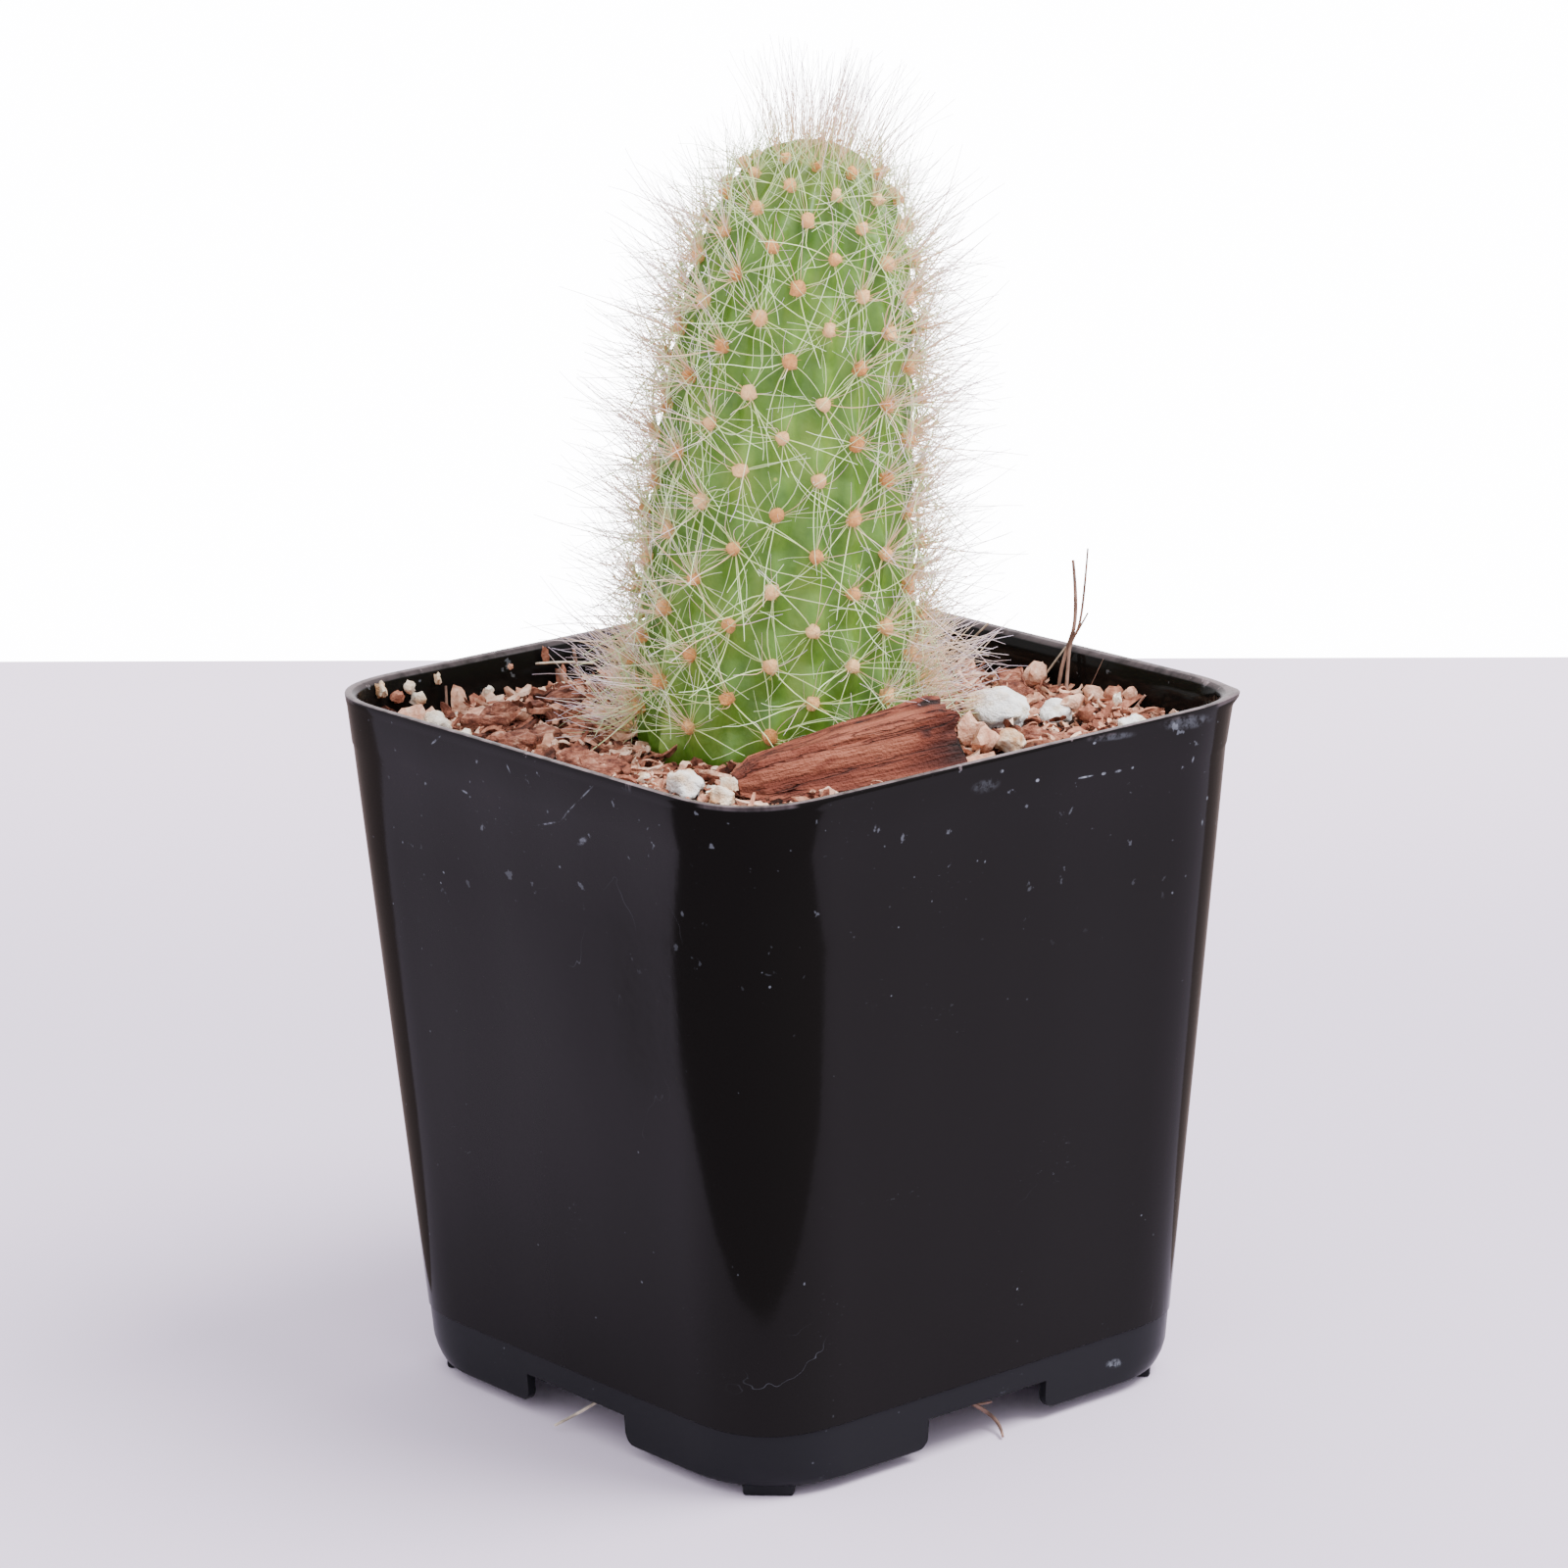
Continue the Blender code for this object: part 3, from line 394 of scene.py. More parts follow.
rubbed = plastic.mix(plastic.ease(z, POT_HEIGHT - 0.0006, POT_HEIGHT - 0.0002),
                     (0.29, 0.32, 0.37), (0.41, 0.32, 0.34))
plastic.set("Base Color", plastic.mix(worn.math("MINIMUM", 1.0), black, rubbed))
plastic.set("Roughness", plastic.grain(70, 3) * 0.10 + worn * 0.4 + skirt * 0.2 + 0.05)
plastic.relief(plastic.grain(55, 1, (1, 1, 0.5)) * 0.8 + plastic.grain(900, 3) * 0.010 - worn * 0.02, 0.00045)
settle(pot, plastic, "black_plastic", "pot")


# The potting mix: damp shredded coir, bark and peat, poured to just under the rim. A lumpy bed
# holds it together, and thousands of curled shreds and small crumbs lie on the bed.
MIX_LEVEL = 0.0557
MIX_FRONT_RISE = 0.0005                           # how much higher the front corner lies than the middle
POT_WIDTH = 0.0566                                # over the lip
BED_GRID, BED_HALF, BED_BELOW = 120, 0.0285, 0.0006
BED_FOOT = 0.857                                  # what is left of its side at the pot's floor
SHREDS, CRUMBS = 2700, 1000
FIBRE_SHARE, PALE_SHARE = 0.3, 0.05               # of the shreds, and of the crumbs
SOWN_HALF, STEM_CLEAR = 0.027, 0.0116             # they lie in this square, and not this near the stem
STEM_FOOT = Vector((-0.00055, 0.00046, 0.0552))
LOOSE = [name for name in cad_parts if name.startswith(("perlite", "bark"))]


def mix_height(x, y):
    """The top of the mix: the solid's own slope and lumps."""
    slope = -MIX_FRONT_RISE * (x + y) / POT_WIDTH
    lumps = 0.00055 * noise.noise(Vector((x, y, 0.0)) * 160.0)
    crumbs = 0.00045 * noise.noise(Vector((x, y, 0.004)) * 420.0)
    return MIX_LEVEL + slope + lumps + crumbs


def inside_pot(x, y, room):
    """The nearest point to (x, y) that is that far inside the wall at the mix's height."""
    half = WALL_FOOT + (WALL_TOP - WALL_FOOT) * MIX_LEVEL / POT_HEIGHT - WALL - room
    radius = CORNER_TOP - WALL
    spot = Vector((min(max(x, -half), half), min(max(y, -half), half)))
    core = Vector((math.copysign(min(abs(spot.x), half - radius), spot.x),
                   math.copysign(min(abs(spot.y), half - radius), spot.y)))
    beyond = spot - core
    return core + beyond.normalized() * min(beyond.length, radius) if beyond.length else spot


def as_shape(bm):
    """Turn a bmesh into a shape for spread(): its corners store their share of its X as along."""
    outwards(bm)
    bm.verts.layers.float.new("tone")
    along = bm.verts.layers.float.new("along")
    low, high = (pick(vert.co.x for vert in bm.verts) for pick in (min, max))
    for vert in bm.verts:
        vert[along] = (vert.co.x - low) / (high - low)
    shape = bpy.data.meshes.new("shape")
    bm.to_mesh(shape)
    bm.free()
    return shape


def spread(name, places):
    """Copy small closed shapes to many places as one mesh: places are (shape, matrix, tone)."""
    many = bmesh.new()
    for shape, matrix, tone in places:
        copy = shape.copy()
        copy.transform(matrix)
        copy.attributes["tone"].data.foreach_set("value", [tone] * len(copy.vertices))
        many.from_mesh(copy)
        bpy.data.meshes.remove(copy)
    return as_piece(name, many, 60)


def lengthwise(bm):
    """The edges that run along X in a bmesh that is 1 long."""
    return [edge for edge in bm.edges if abs(edge.verts[0].co.x - edge.verts[1].co.x) > 0.5]


def make_shred(chance, width):
    """A curled strip 1 long, on X, thin at its edges, with ragged ends."""
    bm = bmesh.new()
    bmesh.ops.create_cube(bm, size=1.0)
    bmesh.ops.subdivide_edges(bm, edges=lengthwise(bm), cuts=5)
    curl, twist = chance.choice((-1, 1)) * chance.uniform(0.2, 2.2), chance.uniform(-1.8, 1.8)
    hollow, skew = chance.uniform(-0.5, 0.5), chance.uniform(-0.15, 0.15)
    for vert in bm.verts:
        share = vert.co.x + 0.5
        ragged = 1 + 0.7 * noise.noise(Vector((share * 6, curl * 9 + vert.co.y * 5, 0)))
        wide = vert.co.y * width * (0.35 + 0.65 * math.sin(math.pi * (0.1 + 0.8 * share))) * ragged
        thick = vert.co.z * width * 0.22 + hollow * abs(wide)
        bend = curl * (share - 0.5)
        side, up = Matrix.Rotation(twist * (share - 0.5), 2) @ Vector((wide, thick))
        vert.co = (math.sin(bend) / curl + skew * vert.co.y * ragged, side, up + (math.cos(bend) - 1) / curl)
    return as_shape(bm)


def make_crumb(chance, subdivisions=2, knobs=0.8):
    """A knobbly crumb about 1 across."""
    bm = bmesh.new()
    bmesh.ops.create_icosphere(bm, subdivisions=subdivisions, radius=0.5)
    offset = Vector([chance.uniform(0, 50) for _ in range(3)])
    for vert in bm.verts:
        vert.co *= 1 + knobs * noise.noise(vert.co * 3.0 + offset)
    return as_shape(bm)


def turned(spot, forward, normal, spin, size):
    """Stand a shape at a spot with its X along forward, leaning on normal, turned by spin."""
    x = forward.normalized()
    y = normal.cross(x).normalized()
    axes = Matrix((x, y, x.cross(y))).transposed().to_4x4()
    return Matrix.Translation(spot) @ axes @ Matrix.Rotation(spin, 4, "X") @ Matrix.Scale(size, 4)


bed = bmesh.new()
bmesh.ops.create_grid(bed, x_segments=BED_GRID, y_segments=BED_GRID, size=BED_HALF)
for vert in bed.verts:
    spot = inside_pot(vert.co.x, vert.co.y, 0.0001)
    rough = 0.00045 * noise.noise(Vector((spot.x, spot.y, 0.01)) * 900)
    rough += 0.00020 * noise.noise(Vector((spot.x, spot.y, 0.02)) * 2200)
    vert.co = (spot.x, spot.y, mix_height(*spot) + rough - BED_BELOW)
top_edge = [edge for edge in bed.edges if edge.is_boundary]
for item in bmesh.ops.extrude_edge_only(bed, edges=top_edge)["geom"]:
    if isinstance(item, bmesh.types.BMVert):
        item.co = (item.co.x * BED_FOOT, item.co.y * BED_FOOT, FLOOR_TOP + 0.0003)
close_up(bed, 0.000002)

chance = random.Random(4)
flakes = [make_shred(chance, chance.uniform(0.25, 0.55)) for _ in range(30)]
fibres = [make_shred(chance, chance.uniform(0.05, 0.14)) for _ in range(20)]
crumbs = [make_crumb(chance) for _ in range(10)]
to_camera = Matrix.Rotation(LOOKS_TOWARDS, 2)
# Circles that stay in view: three along the long chunk of bark, with their place and radius in
# millimetres, and one round each grain of perlite
ALONG_CHUNK = ((-12.9, -13.8, 3.3), (-7.4, -15.9, 3.6), (-1.9, -17.9, 4.2))
keep_clear = [(Vector((x, y)) / 1000, reach / 1000) for x, y, reach in ALONG_CHUNK]
for name in LOOSE:
    if name.startswith("perlite"):
        lowest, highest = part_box(name)
        keep_clear.append((((lowest + highest) / 2).xy, (highest - lowest).xy.length / 2))


def sown(chance, room):
    """A place on the mix by chance, at least that far inside the wall."""
    return inside_pot(chance.uniform(-SOWN_HALF, SOWN_HALF), chance.uniform(-SOWN_HALF, SOWN_HALF), room)


def hides(spot, length):
    """Whether a shred here would lie on such a circle or in front of it."""
    for centre, reach in keep_clear:
        aside, behind = to_camera @ (spot - centre)
        if abs(aside) < 0.62 * reach + 0.25 * length and -0.8 * reach - 0.9 * length < behind < 0.62 * reach:
            return True
    return False


shred_places, crumb_places, grain_places = [], [], []
while len(shred_places) < SHREDS:
    fibrous = chance.random() < FIBRE_SHARE
    shortest, longer = (0.0020, 0.0050) if fibrous else (0.0010, 0.0026)
    length = shortest + longer * chance.random() ** 1.8
    spot = sown(chance, 0.42 * length)
    if (spot - STEM_FOOT.xy).length < STEM_CLEAR + 0.2 * length or hides(spot, length):
        continue
    ground = Vector((spot.x, spot.y, mix_height(*spot) + 0.0011 * chance.random() ** 1.5 - 0.0004))
    heading = chance.uniform(0, 2 * math.pi)
    forward = Vector((math.cos(heading), math.sin(heading), chance.gauss(0, 0.16)))
    shape = chance.choice(fibres if fibrous else flakes)
    place = turned(ground, forward, Vector((0, 0, 1)), chance.gauss(0, 0.7), length)
    shred_places.append((shape, place, chance.random()))
while len(crumb_places) < CRUMBS:
    size = 0.0003 + 0.0009 * chance.random() ** 2
    spot = sown(chance, size)
    if (spot - STEM_FOOT.xy).length < STEM_CLEAR or hides(spot, size):
        continue
    ground = Vector((spot.x, spot.y, mix_height(*spot) + 0.0004 * chance.random()))
    place = Matrix.Translation(ground) @ Matrix.Rotation(chance.uniform(0, 6), 4, "Z") @ Matrix.Diagonal(
        (size, size * chance.uniform(0.6, 1), size * chance.uniform(0.4, 0.9), 1))
    places = grain_places if chance.random() < PALE_SHARE else crumb_places
    places.append((chance.choice(crumbs), place, chance.random()))

coir = Finish("shredded coir", (0.1, 0.04, 0.02), 0.9, Specular_IOR_Level=0.2)
shade = coir.stored("tone") * 0.85 + coir.grain(1500, 3, roughness=0.6) * 0.9 - 0.33
coir.paint(shade, [
    (0.02, (0.026, 0.008, 0.005)), (0.20, (0.11, 0.034, 0.021)), (0.38, (0.27, 0.098, 0.062)),
    (0.58, (0.46, 0.205, 0.135)), (0.78, (0.68, 0.38, 0.265)), (0.98, (0.88, 0.63, 0.49))])
coir.relief(coir.grain(5000, 3) + coir.grain(1800, 2), 0.00012)
peat = Finish("peat", (0.03, 0.012, 0.008), 0.95, Specular_IOR_Level=0.15)
peat.paint(peat.grain(1300, 4, roughness=0.7), [
    (0.35, (0.008, 0.004, 0.003)), (0.55, (0.045, 0.016, 0.010)), (0.72, (0.15, 0.055, 0.034))])
peat.relief(peat.grain(2600, 4, roughness=0.7), 0.0004)
settle(solid("mix_bed", bed), peat, "potting_mix", "potting_mix")
settle(spread("mix_shreds", shred_places), coir, "potting_mix")
settle(spread("mix_crumbs", crumb_places), coir, "potting_mix")


# The loose pieces: popped perlite grains, split flakes of bark, and one long wedge of bark
# that leans on the front of the stem. Each lies in the mix by its own weight.
CHUNK_COLUMNS, CHUNK_ROWS = 64, 110
CHUNK_ENDS = Vector((-0.0160, -0.0127, 0.0568)), Vector((0.0012, -0.0190, 0.0586))
CHUNK_WIDTHS = (0.0034, 0.0058)                   # at the thin end and at the thick end
CHUNK_HEIGHTS = (0.0028, 0.0062)
CHUNK_ROUNDING = 0.30                             # 1 would make it round, and 0 square


def refine(node, rounds, grow):
    """A finer copy of a solid, in the same place; grow(spot) says how far each corner moves out."""
    bm = bmesh.new()
    bm.from_mesh(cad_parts[node].data)
    bmesh.ops.remove_doubles(bm, verts=bm.verts, dist=0.000002)
    for _ in range(rounds):
        bmesh.ops.subdivide_edges(bm, edges=bm.edges, cuts=1, use_grid_fill=True, smooth=0.6)
    bm.normal_update()
    for vert in bm.verts:
        vert.co += vert.normal * grow(vert.co.copy())
    return bm


def popped(spot):
    """Perlite's surface: round knobs with small pits between them."""
    return (0.00042 * noise.noise(spot * 560) + 0.00026 * noise.noise(spot * 1300)
            + 0.00012 * noise.noise(spot * 3000) - 0.00012)


white = Finish("perlite", (0.9, 0.89, 0.87), 0.9, Specular_IOR_Level=0.3)
leftwards = (to_camera.transposed() @ Vector((-1, 0))).to_3d()
STAIN_OUT, STAIN_RADII = 0.0020, (0.0021, 0.0021, 0.0030)    # a brown stain on the left of one grain
lowest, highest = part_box("perlite_3")
one_stain = white.mark((lowest + highest) / 2 + leftwards * STAIN_OUT, STAIN_RADII)
stain = white.ease(white.grain(260, 3), 0.54, 0.72).math("MAXIMUM", one_stain * 0.9)
chalk = white.mix(white.ease(white.grain(700, 2), 0.50, 0.70), (0.95, 0.95, 0.95), (0.88, 0.80, 0.68))
white.set("Base Color", white.mix(stain, chalk, (0.74, 0.44, 0.20)))
white.relief(white.grain(3000, 3, roughness=0.7), 0.0003)
cream = Finish("stained perlite", (0.86, 0.72, 0.56), 0.9, Specular_IOR_Level=0.3)
cream.paint(cream.grain(500, 3), [
    (0.35, (0.60, 0.32, 0.16)), (0.47, (0.84, 0.64, 0.46)), (0.60, (0.93, 0.85, 0.74))])
cream.relief(cream.grain(3000, 3, roughness=0.7), 0.0003)
STAINED = ("perlite_2", "perlite_5", "perlite_7", "perlite_8")
for name in LOOSE:
    if name.startswith("perlite"):
        grain = solid(f"{name}_fine", refine(name, 2, popped), 50)
        settle(grain, cream if name in STAINED else white, "perlite", name)


def flaked(spot):
    """Bark's surface: thin flakes that lift, with splits between them."""
    split = abs(noise.noise(Vector((spot.x * 500, spot.y * 500, spot.z * 1500))))
    return 0.00035 * (0.35 - split) + 0.00012 * noise.noise(spot * 2600)


bark = Finish("bark", (0.2, 0.07, 0.04), 0.85, Specular_IOR_Level=0.25)
bark.paint(bark.grain(1100, 5, (0.6, 0.6, 2.2), roughness=0.75), [
    (0.30, (0.035, 0.011, 0.008)), (0.44, (0.16, 0.048, 0.030)), (0.56, (0.36, 0.14, 0.090)),
    (0.70, (0.66, 0.38, 0.27))])
bark.relief(bark.grain(2600, 4, roughness=0.7), 0.0004)
WORN_CHIP, WORN_BY = "bark_chip_3", 0.0005        # one chip is worn smaller than its solid
for name in LOOSE:
    if name.startswith("bark_chip"):
        less = WORN_BY if name == WORN_CHIP else 0.0
        chip = solid(f"{name}_fine", refine(name, 3, lambda spot: flaked(spot) - less), 40)
        settle(chip, bark, "bark", name)

chunk_length = (CHUNK_ENDS[1] - CHUNK_ENDS[0]).length
chunk_turn = (CHUNK_ENDS[1] - CHUNK_ENDS[0]).to_track_quat("X", "Z")


def chunk_place(column, row):
    """The chunk's surface: a wedge with a leaning front, split along its grain."""
    share = row / CHUNK_ROWS
    angle = 2 * math.pi * column / CHUNK_COLUMNS
    wide, tall = (thin + (thick - thin) * share ** 0.8 for thin, thick in (CHUNK_WIDTHS, CHUNK_HEIGHTS))
    across, up = (math.copysign(abs(way) ** CHUNK_ROUNDING, way) / 2
                  for way in (math.cos(angle), math.sin(angle)))
    if across < 0:
        across *= 1 - 0.55 * (up + 0.5)
    closing = min(1.0, 0.55 + 4.5 * share) * (1 - 0.12 * max(0.0, share - 0.94) / 0.06)
    along = share * chunk_length
    ridges = noise.noise(Vector((along * 60, across * 6, up * 6)))
    splits = 0.5 - abs(noise.noise(Vector((along * 110, across * 14, up * 14 + 5)))) * 2
    ragged = max(0.0, share - 0.82) / 0.18
    torn = noise.noise(Vector((along * 300, across * 9, up * 9 + 9)))
    size = closing * (1 + 0.16 * ridges + 0.09 * splits + 0.04 * torn + 0.18 * ragged * torn)
    end = ragged * 0.0016 * noise.noise(Vector((0, across * 6, up * 6 + 3)))
    spot = Vector((along + end, across * wide * size, up * tall * size))
    return CHUNK_ENDS[0] + chunk_turn @ spot


wood = Finish("red bark", (0.24, 0.06, 0.03), 0.75, Specular_IOR_Level=0.3)
lengthways = wood.node("ShaderNodeMapping", {"vector_type": "TEXTURE"}, {
    "Vector": wood.place, "Location": CHUNK_ENDS[0], "Rotation": chunk_turn.to_euler()})
fibre = wood.grain(900, 5, (0.06, 1, 1), roughness=0.6, where=lengthways)
blotch = wood.grain(260, 3, (0.4, 1, 1), where=lengthways)
shade = fibre * 0.65 + blotch * 0.45 - 0.05
# The chunk is painted darker towards its thick, torn end.
darker_end = wood.ease(wood.axis("X", lengthways) + (blotch - 0.5) * 0.006, 0.0148, 0.0180)
# Cracks along the grain are sunk in by the bump and painted darker: painted shade in them.
cracks = wood.ease(abs(wood.grain(420, 4, (0.10, 1, 1), roughness=0.7, where=lengthways) - 0.5), 0.022, 0.004)
knots = wood.ease(wood.grain(380, 2, (0.5, 1, 1), where=lengthways), 0.66, 0.74)
# The chunk's top face is painted lighter: a painted highlight where the light from above falls on it.
painted_top_light = wood.ease(wood.axis("Z", lengthways) + (fibre - 0.5) * 0.002, 0.0008, 0.0020) * 0.07
wood.paint(shade + painted_top_light - 0.17 * darker_end - 0.08 * cracks - 0.2 * knots, [
    (0.24, (0.013, 0.0035, 0.003)), (0.38, (0.070, 0.0135, 0.0085)), (0.50, (0.165, 0.038, 0.021)),
    (0.70, (0.37, 0.125, 0.074))])
wood.relief(fibre + wood.grain(4000, 3) * 0.3 - cracks * 0.5, 0.0006)
chunk = solid("bark_chunk_fine", wrapped(CHUNK_COLUMNS, CHUNK_ROWS, chunk_place), 40)
settle(chunk, wood, "bark", "bark_chunk")

# Crumbs of perlite and bits of coir that stick to the inside of the pot or lie near its rim and
# beside the chunk: place in millimetres, size across, and how much taller than wide
STUCK_GRAINS = (
    (-22.1, 26.6, 58.7, 1.3, 1.1), (-19.1, 26.7, 58.3, 1.4, 0.8), (-18.35, 26.7, 57.2, 1.5, 0.8),
    (-16.1, 26.7, 58.6, 0.8, 1.3), (-10.9, 26.5, 56.6, 0.8, 1.0), (24.5, -14.0, 57.0, 1.0, 1.0),
    (-20.0, -6.0, 56.8, 1.3, 0.7), (-25.4, 9.6, 56.9, 1.2, 0.6), (-16.8, -12.8, 57.0, 1.6, 0.9),
)
STUCK_COIR = (
    (-20.4, 26.6, 57.7, 1.2, 0.8), (-14.2, 26.5, 56.2, 1.3, 2.4), (-4.6, 26.7, 58.6, 0.7, 2.0),
    (-8.4, 26.6, 58.3, 0.5, 1.0), (-3.1, 26.3, 56.3, 1.4, 2.0), (26.4, -9.1, 56.0, 2.2, 0.8),
    (26.3, -11.8, 56.5, 1.6, 1.0), (26.2, -13.7, 57.1, 1.2, 0.9), (25.4, -2.9, 57.0, 2.6, 0.7),
    (8.0, -13.9, 57.0, 2.4, 1.2), (7.4, -16.4, 57.0, 2.8, 0.8), (19.6, -15.6, 56.9, 1.8, 0.7),
    (21.4, -11.9, 56.9, 2.0, 0.7),
)


def stuck(x, y, z, across, taller):
    """The place of such a crumb, turned by its place and a little narrower one way."""
    size = across / 1000
    return (Matrix.Translation((x / 1000, y / 1000, z / 1000)) @ Matrix.Rotation(x + y, 4, "Z")
            @ Matrix.Diagonal((size, size * 0.7, size * taller, 1)))


grain_places += [(chance.choice(crumbs), stuck(*bit), chance.random()) for bit in STUCK_GRAINS]
stuck_places = [(chance.choice(crumbs), stuck(*bit), chance.uniform(0.3, 0.9)) for bit in STUCK_COIR]
settle(spread("mix_grains", grain_places), cream, "perlite")
settle(spread("stuck_bits", stuck_places), coir, "potting_mix")


# The stem: one grown body. Its ribs are rows of low tubercles, and each tubercle carries an
# areole, a small felted cushion. The flesh is waxy, a little see-through and mottled.
LEAN_TOWARDS = math.radians(-39.9)
STEM_BEND = 1.79                                  # metres sideways per metre of height squared
STEM_LENGTH = 0.0501
STEM_RADIUS = 0.01199
STEM_TAPER = (0.0247, 1.047)
STEM_BLUNTNESS = 12
RIBS = 21
RIB_STEP = 10 / 21
FIRST_RIB_ANGLE = math.radians(-76.2)
RELIEF = 0.00095
TUBERCLE_ACROSS, TUBERCLE_ALONG = 0.40, 0.42      # half a tubercle, in ribs and in rows
RIDGE, RIDGE_ACROSS = 0.45, 0.36                  # the low ridge that joins those of one rib
ROOT_DEPTH, ROOT_RADIUS = 0.0070, 0.0092          # the stem's foot, hidden in the mix
OUTLINE_SAMPLES = 600
STEM_COLUMNS, STEM_ROWS = 12 * RIBS, 190
LOWEST_ROW, TOP_ROW, LAST_ROW = -2.9, 5.6, 6.98   # areoles stop at TOP_ROW, and the flesh at LAST_ROW
ROW_ARCS = (0.01827, 0.0062373, 0.000035, -0.000023)

UP = Vector((0.0, 0.0, 1.0))
LEAN = Vector((math.cos(LEAN_TOWARDS), math.sin(LEAN_TOWARDS), 0.0))
ACROSS = UP.cross(LEAN)


def stem_centre(height):
    return STEM_FOOT + UP * height + LEAN * STEM_BEND * max(height, 0.0) ** 2


def stem_way(height):
    return (UP + LEAN * 2 * STEM_BEND * max(height, 0.0)).normalized()


def stem_radius(height):
    barrel = STEM_RADIUS - STEM_TAPER[0] * height - STEM_TAPER[1] * height ** 2
    return barrel * math.sqrt(max(0.0, 1.0 - (height / STEM_LENGTH) ** STEM_BLUNTNESS))


stem_outline = [(0.0, 0.0, stem_radius(0.0))]     # arc length from the mix, height and radius
for sample in range(1, OUTLINE_SAMPLES + 1):
    height = STEM_LENGTH * (1 - (1 - sample / OUTLINE_SAMPLES) ** 3)
    arc, below, radius = stem_outline[-1]
    arc += math.hypot(height - below, stem_radius(height) - radius)
    stem_outline.append((arc, height, stem_radius(height)))


def on_outline(arc):
    """Height and radius at an arc length up the stem's outline."""
    place = min(max(bisect.bisect(stem_outline, (arc,)), 1), len(stem_outline) - 1)
    low, high = stem_outline[place - 1], stem_outline[place]
    share = min(max((arc - low[0]) / (high[0] - low[0]), 0.0), 1.0)
    return low[1] + (high[1] - low[1]) * share, low[2] + (high[2] - low[2]) * share


def row_arc(row):
    """How far up the outline a row of areoles stands; the rows draw together at the tip."""
    return sum(part * row ** power for power, part in enumerate(ROW_ARCS))


def rib_way(rib, height):
    angle = FIRST_RIB_ANGLE + 2 * math.pi * rib / RIBS
    return ACROSS.cross(stem_way(height)) * math.cos(angle) + ACROSS * math.sin(angle)


def stem_point(row, rib):
    """A point of the flesh: low tubercles round each areole, on a smooth barrel."""
    height, radius = on_outline(row_arc(row))
    swell = 0.0
    for near in (math.floor(rib), math.floor(rib) + 1):
        above = row - near * RIB_STEP
        above -= round(above)
        swell += math.exp(-((rib - near) / TUBERCLE_ACROSS) ** 2 - (above / TUBERCLE_ALONG) ** 2)
        swell += RIDGE * math.exp(-((rib - near) / RIDGE_ACROSS) ** 2)
    way = rib_way(rib, height)
    spot = stem_centre(height) + way * radius
    relief = RELIEF * (1.5 - min(swell, 1.45)) + 0.00010 * noise.noise(spot * 500)
    return spot - way * relief * min(1.0, radius / (0.6 * STEM_RADIUS))


def flesh_place(column, step):
    rib = column * RIBS / STEM_COLUMNS
    if step == 0:
        return STEM_FOOT - UP * ROOT_DEPTH + rib_way(rib, 0.0) * ROOT_RADIUS
    if step == STEM_ROWS:
        return stem_centre(STEM_LENGTH)
    return stem_point(LOWEST_ROW + (LAST_ROW - LOWEST_ROW) * (step - 1) / (STEM_ROWS - 1), rib)


flesh = Finish("cactus flesh", (0.22, 0.42, 0.06), 0.42, Subsurface_Weight=0.25,
               Subsurface_Radius=(0.6, 1.0, 0.25), Subsurface_Scale=0.0012)
mottle = flesh.grain(210, 4, (1, 1, 0.8), roughness=0.6)
streak = flesh.grain(420, 2, (1, 1, 0.25))
shade = mottle * 0.65 + streak * 0.35
green = flesh.ramp(shade, [
    (0.34, (0.050, 0.13, 0.010)), (0.50, (0.105, 0.225, 0.021)), (0.66, (0.20, 0.33, 0.048))])
dots = flesh.ease(flesh.cells(520), 0.13, 0.06) * flesh.ease(flesh.grain(330, 1), 0.55, 0.62)
green = flesh.mix(dots, green, (0.40, 0.46, 0.08))
TIP_SHADE_LOW, TIP_SHADE_HIGH = 0.0985, 0.1045            # the flesh is painted darker olive towards the tip: painted shade under its tuft of hairs
tip_shade = flesh.ease(flesh.axis("Z"), TIP_SHADE_LOW, TIP_SHADE_HIGH)
flesh.set("Base Color", flesh.mix(tip_shade * 0.6, green, (0.11, 0.15, 0.015)))
flesh.set("Roughness", flesh.grain(600, 2) * 0.2 + 0.34)
flesh.relief(flesh.grain(1400, 3) * 0.6 + mottle * 0.4, 0.00016)
stem = solid("stem", wrapped(STEM_COLUMNS, STEM_ROWS, flesh_place), 80)
settle(stem, flesh, "cactus", "cactus")


# The areoles and their spines: felted cushions, each with a spray of fine bristles that lie
# close to the flesh and cross their neighbours, and finer hairs that stand out from it. The
# youngest, at the tip, stand up in a tuft.
def make_bristle(chance, thick, bow, joints=6, blunt=0.4):
    """A bristle 1 long, on X: it tapers, and arches towards its own Z. thick is that of its root."""
    bm = bmesh.new()
    lying = Matrix.Translation((0.5, 0, 0)) @ Matrix.Rotation(math.pi / 2, 4, "Y")
    bmesh.ops.create_cone(bm, cap_ends=True, segments=3, radius1=thick / 2, radius2=thick / 2 * blunt,
                          depth=1.0, matrix=lying)
    bmesh.ops.subdivide_edges(bm, edges=lengthwise(bm), cuts=joints - 1)
    arch = chance.gauss(bow, abs(bow) * 0.8 + 0.03)
    wave, swing = chance.gauss(0.0, 0.018), chance.gauss(0.0, 0.05)
    for vert in bm.verts:
        share = vert.co.x
        vert.co.z += arch * share ** 2 + wave * math.sin(2 * math.pi * share)
        vert.co.y += swing * share ** 2 + wave * math.sin(5 * share)
    return as_shape(bm)


areoles = []
for rib in range(RIBS):
    first = LOWEST_ROW + (rib * RIB_STEP - LOWEST_ROW) % 1.0
    for step in range(math.ceil(TOP_ROW - first)):
        row = first + step
        seat = stem_point(row, rib)
        rise = stem_point(row + 0.08, rib) - stem_point(row - 0.08, rib)
        normal = (stem_point(row, rib + 0.3) - stem_point(row, rib - 0.3)).cross(rise).normalized()
        areoles.append((row, seat, normal, rise.normalized()))

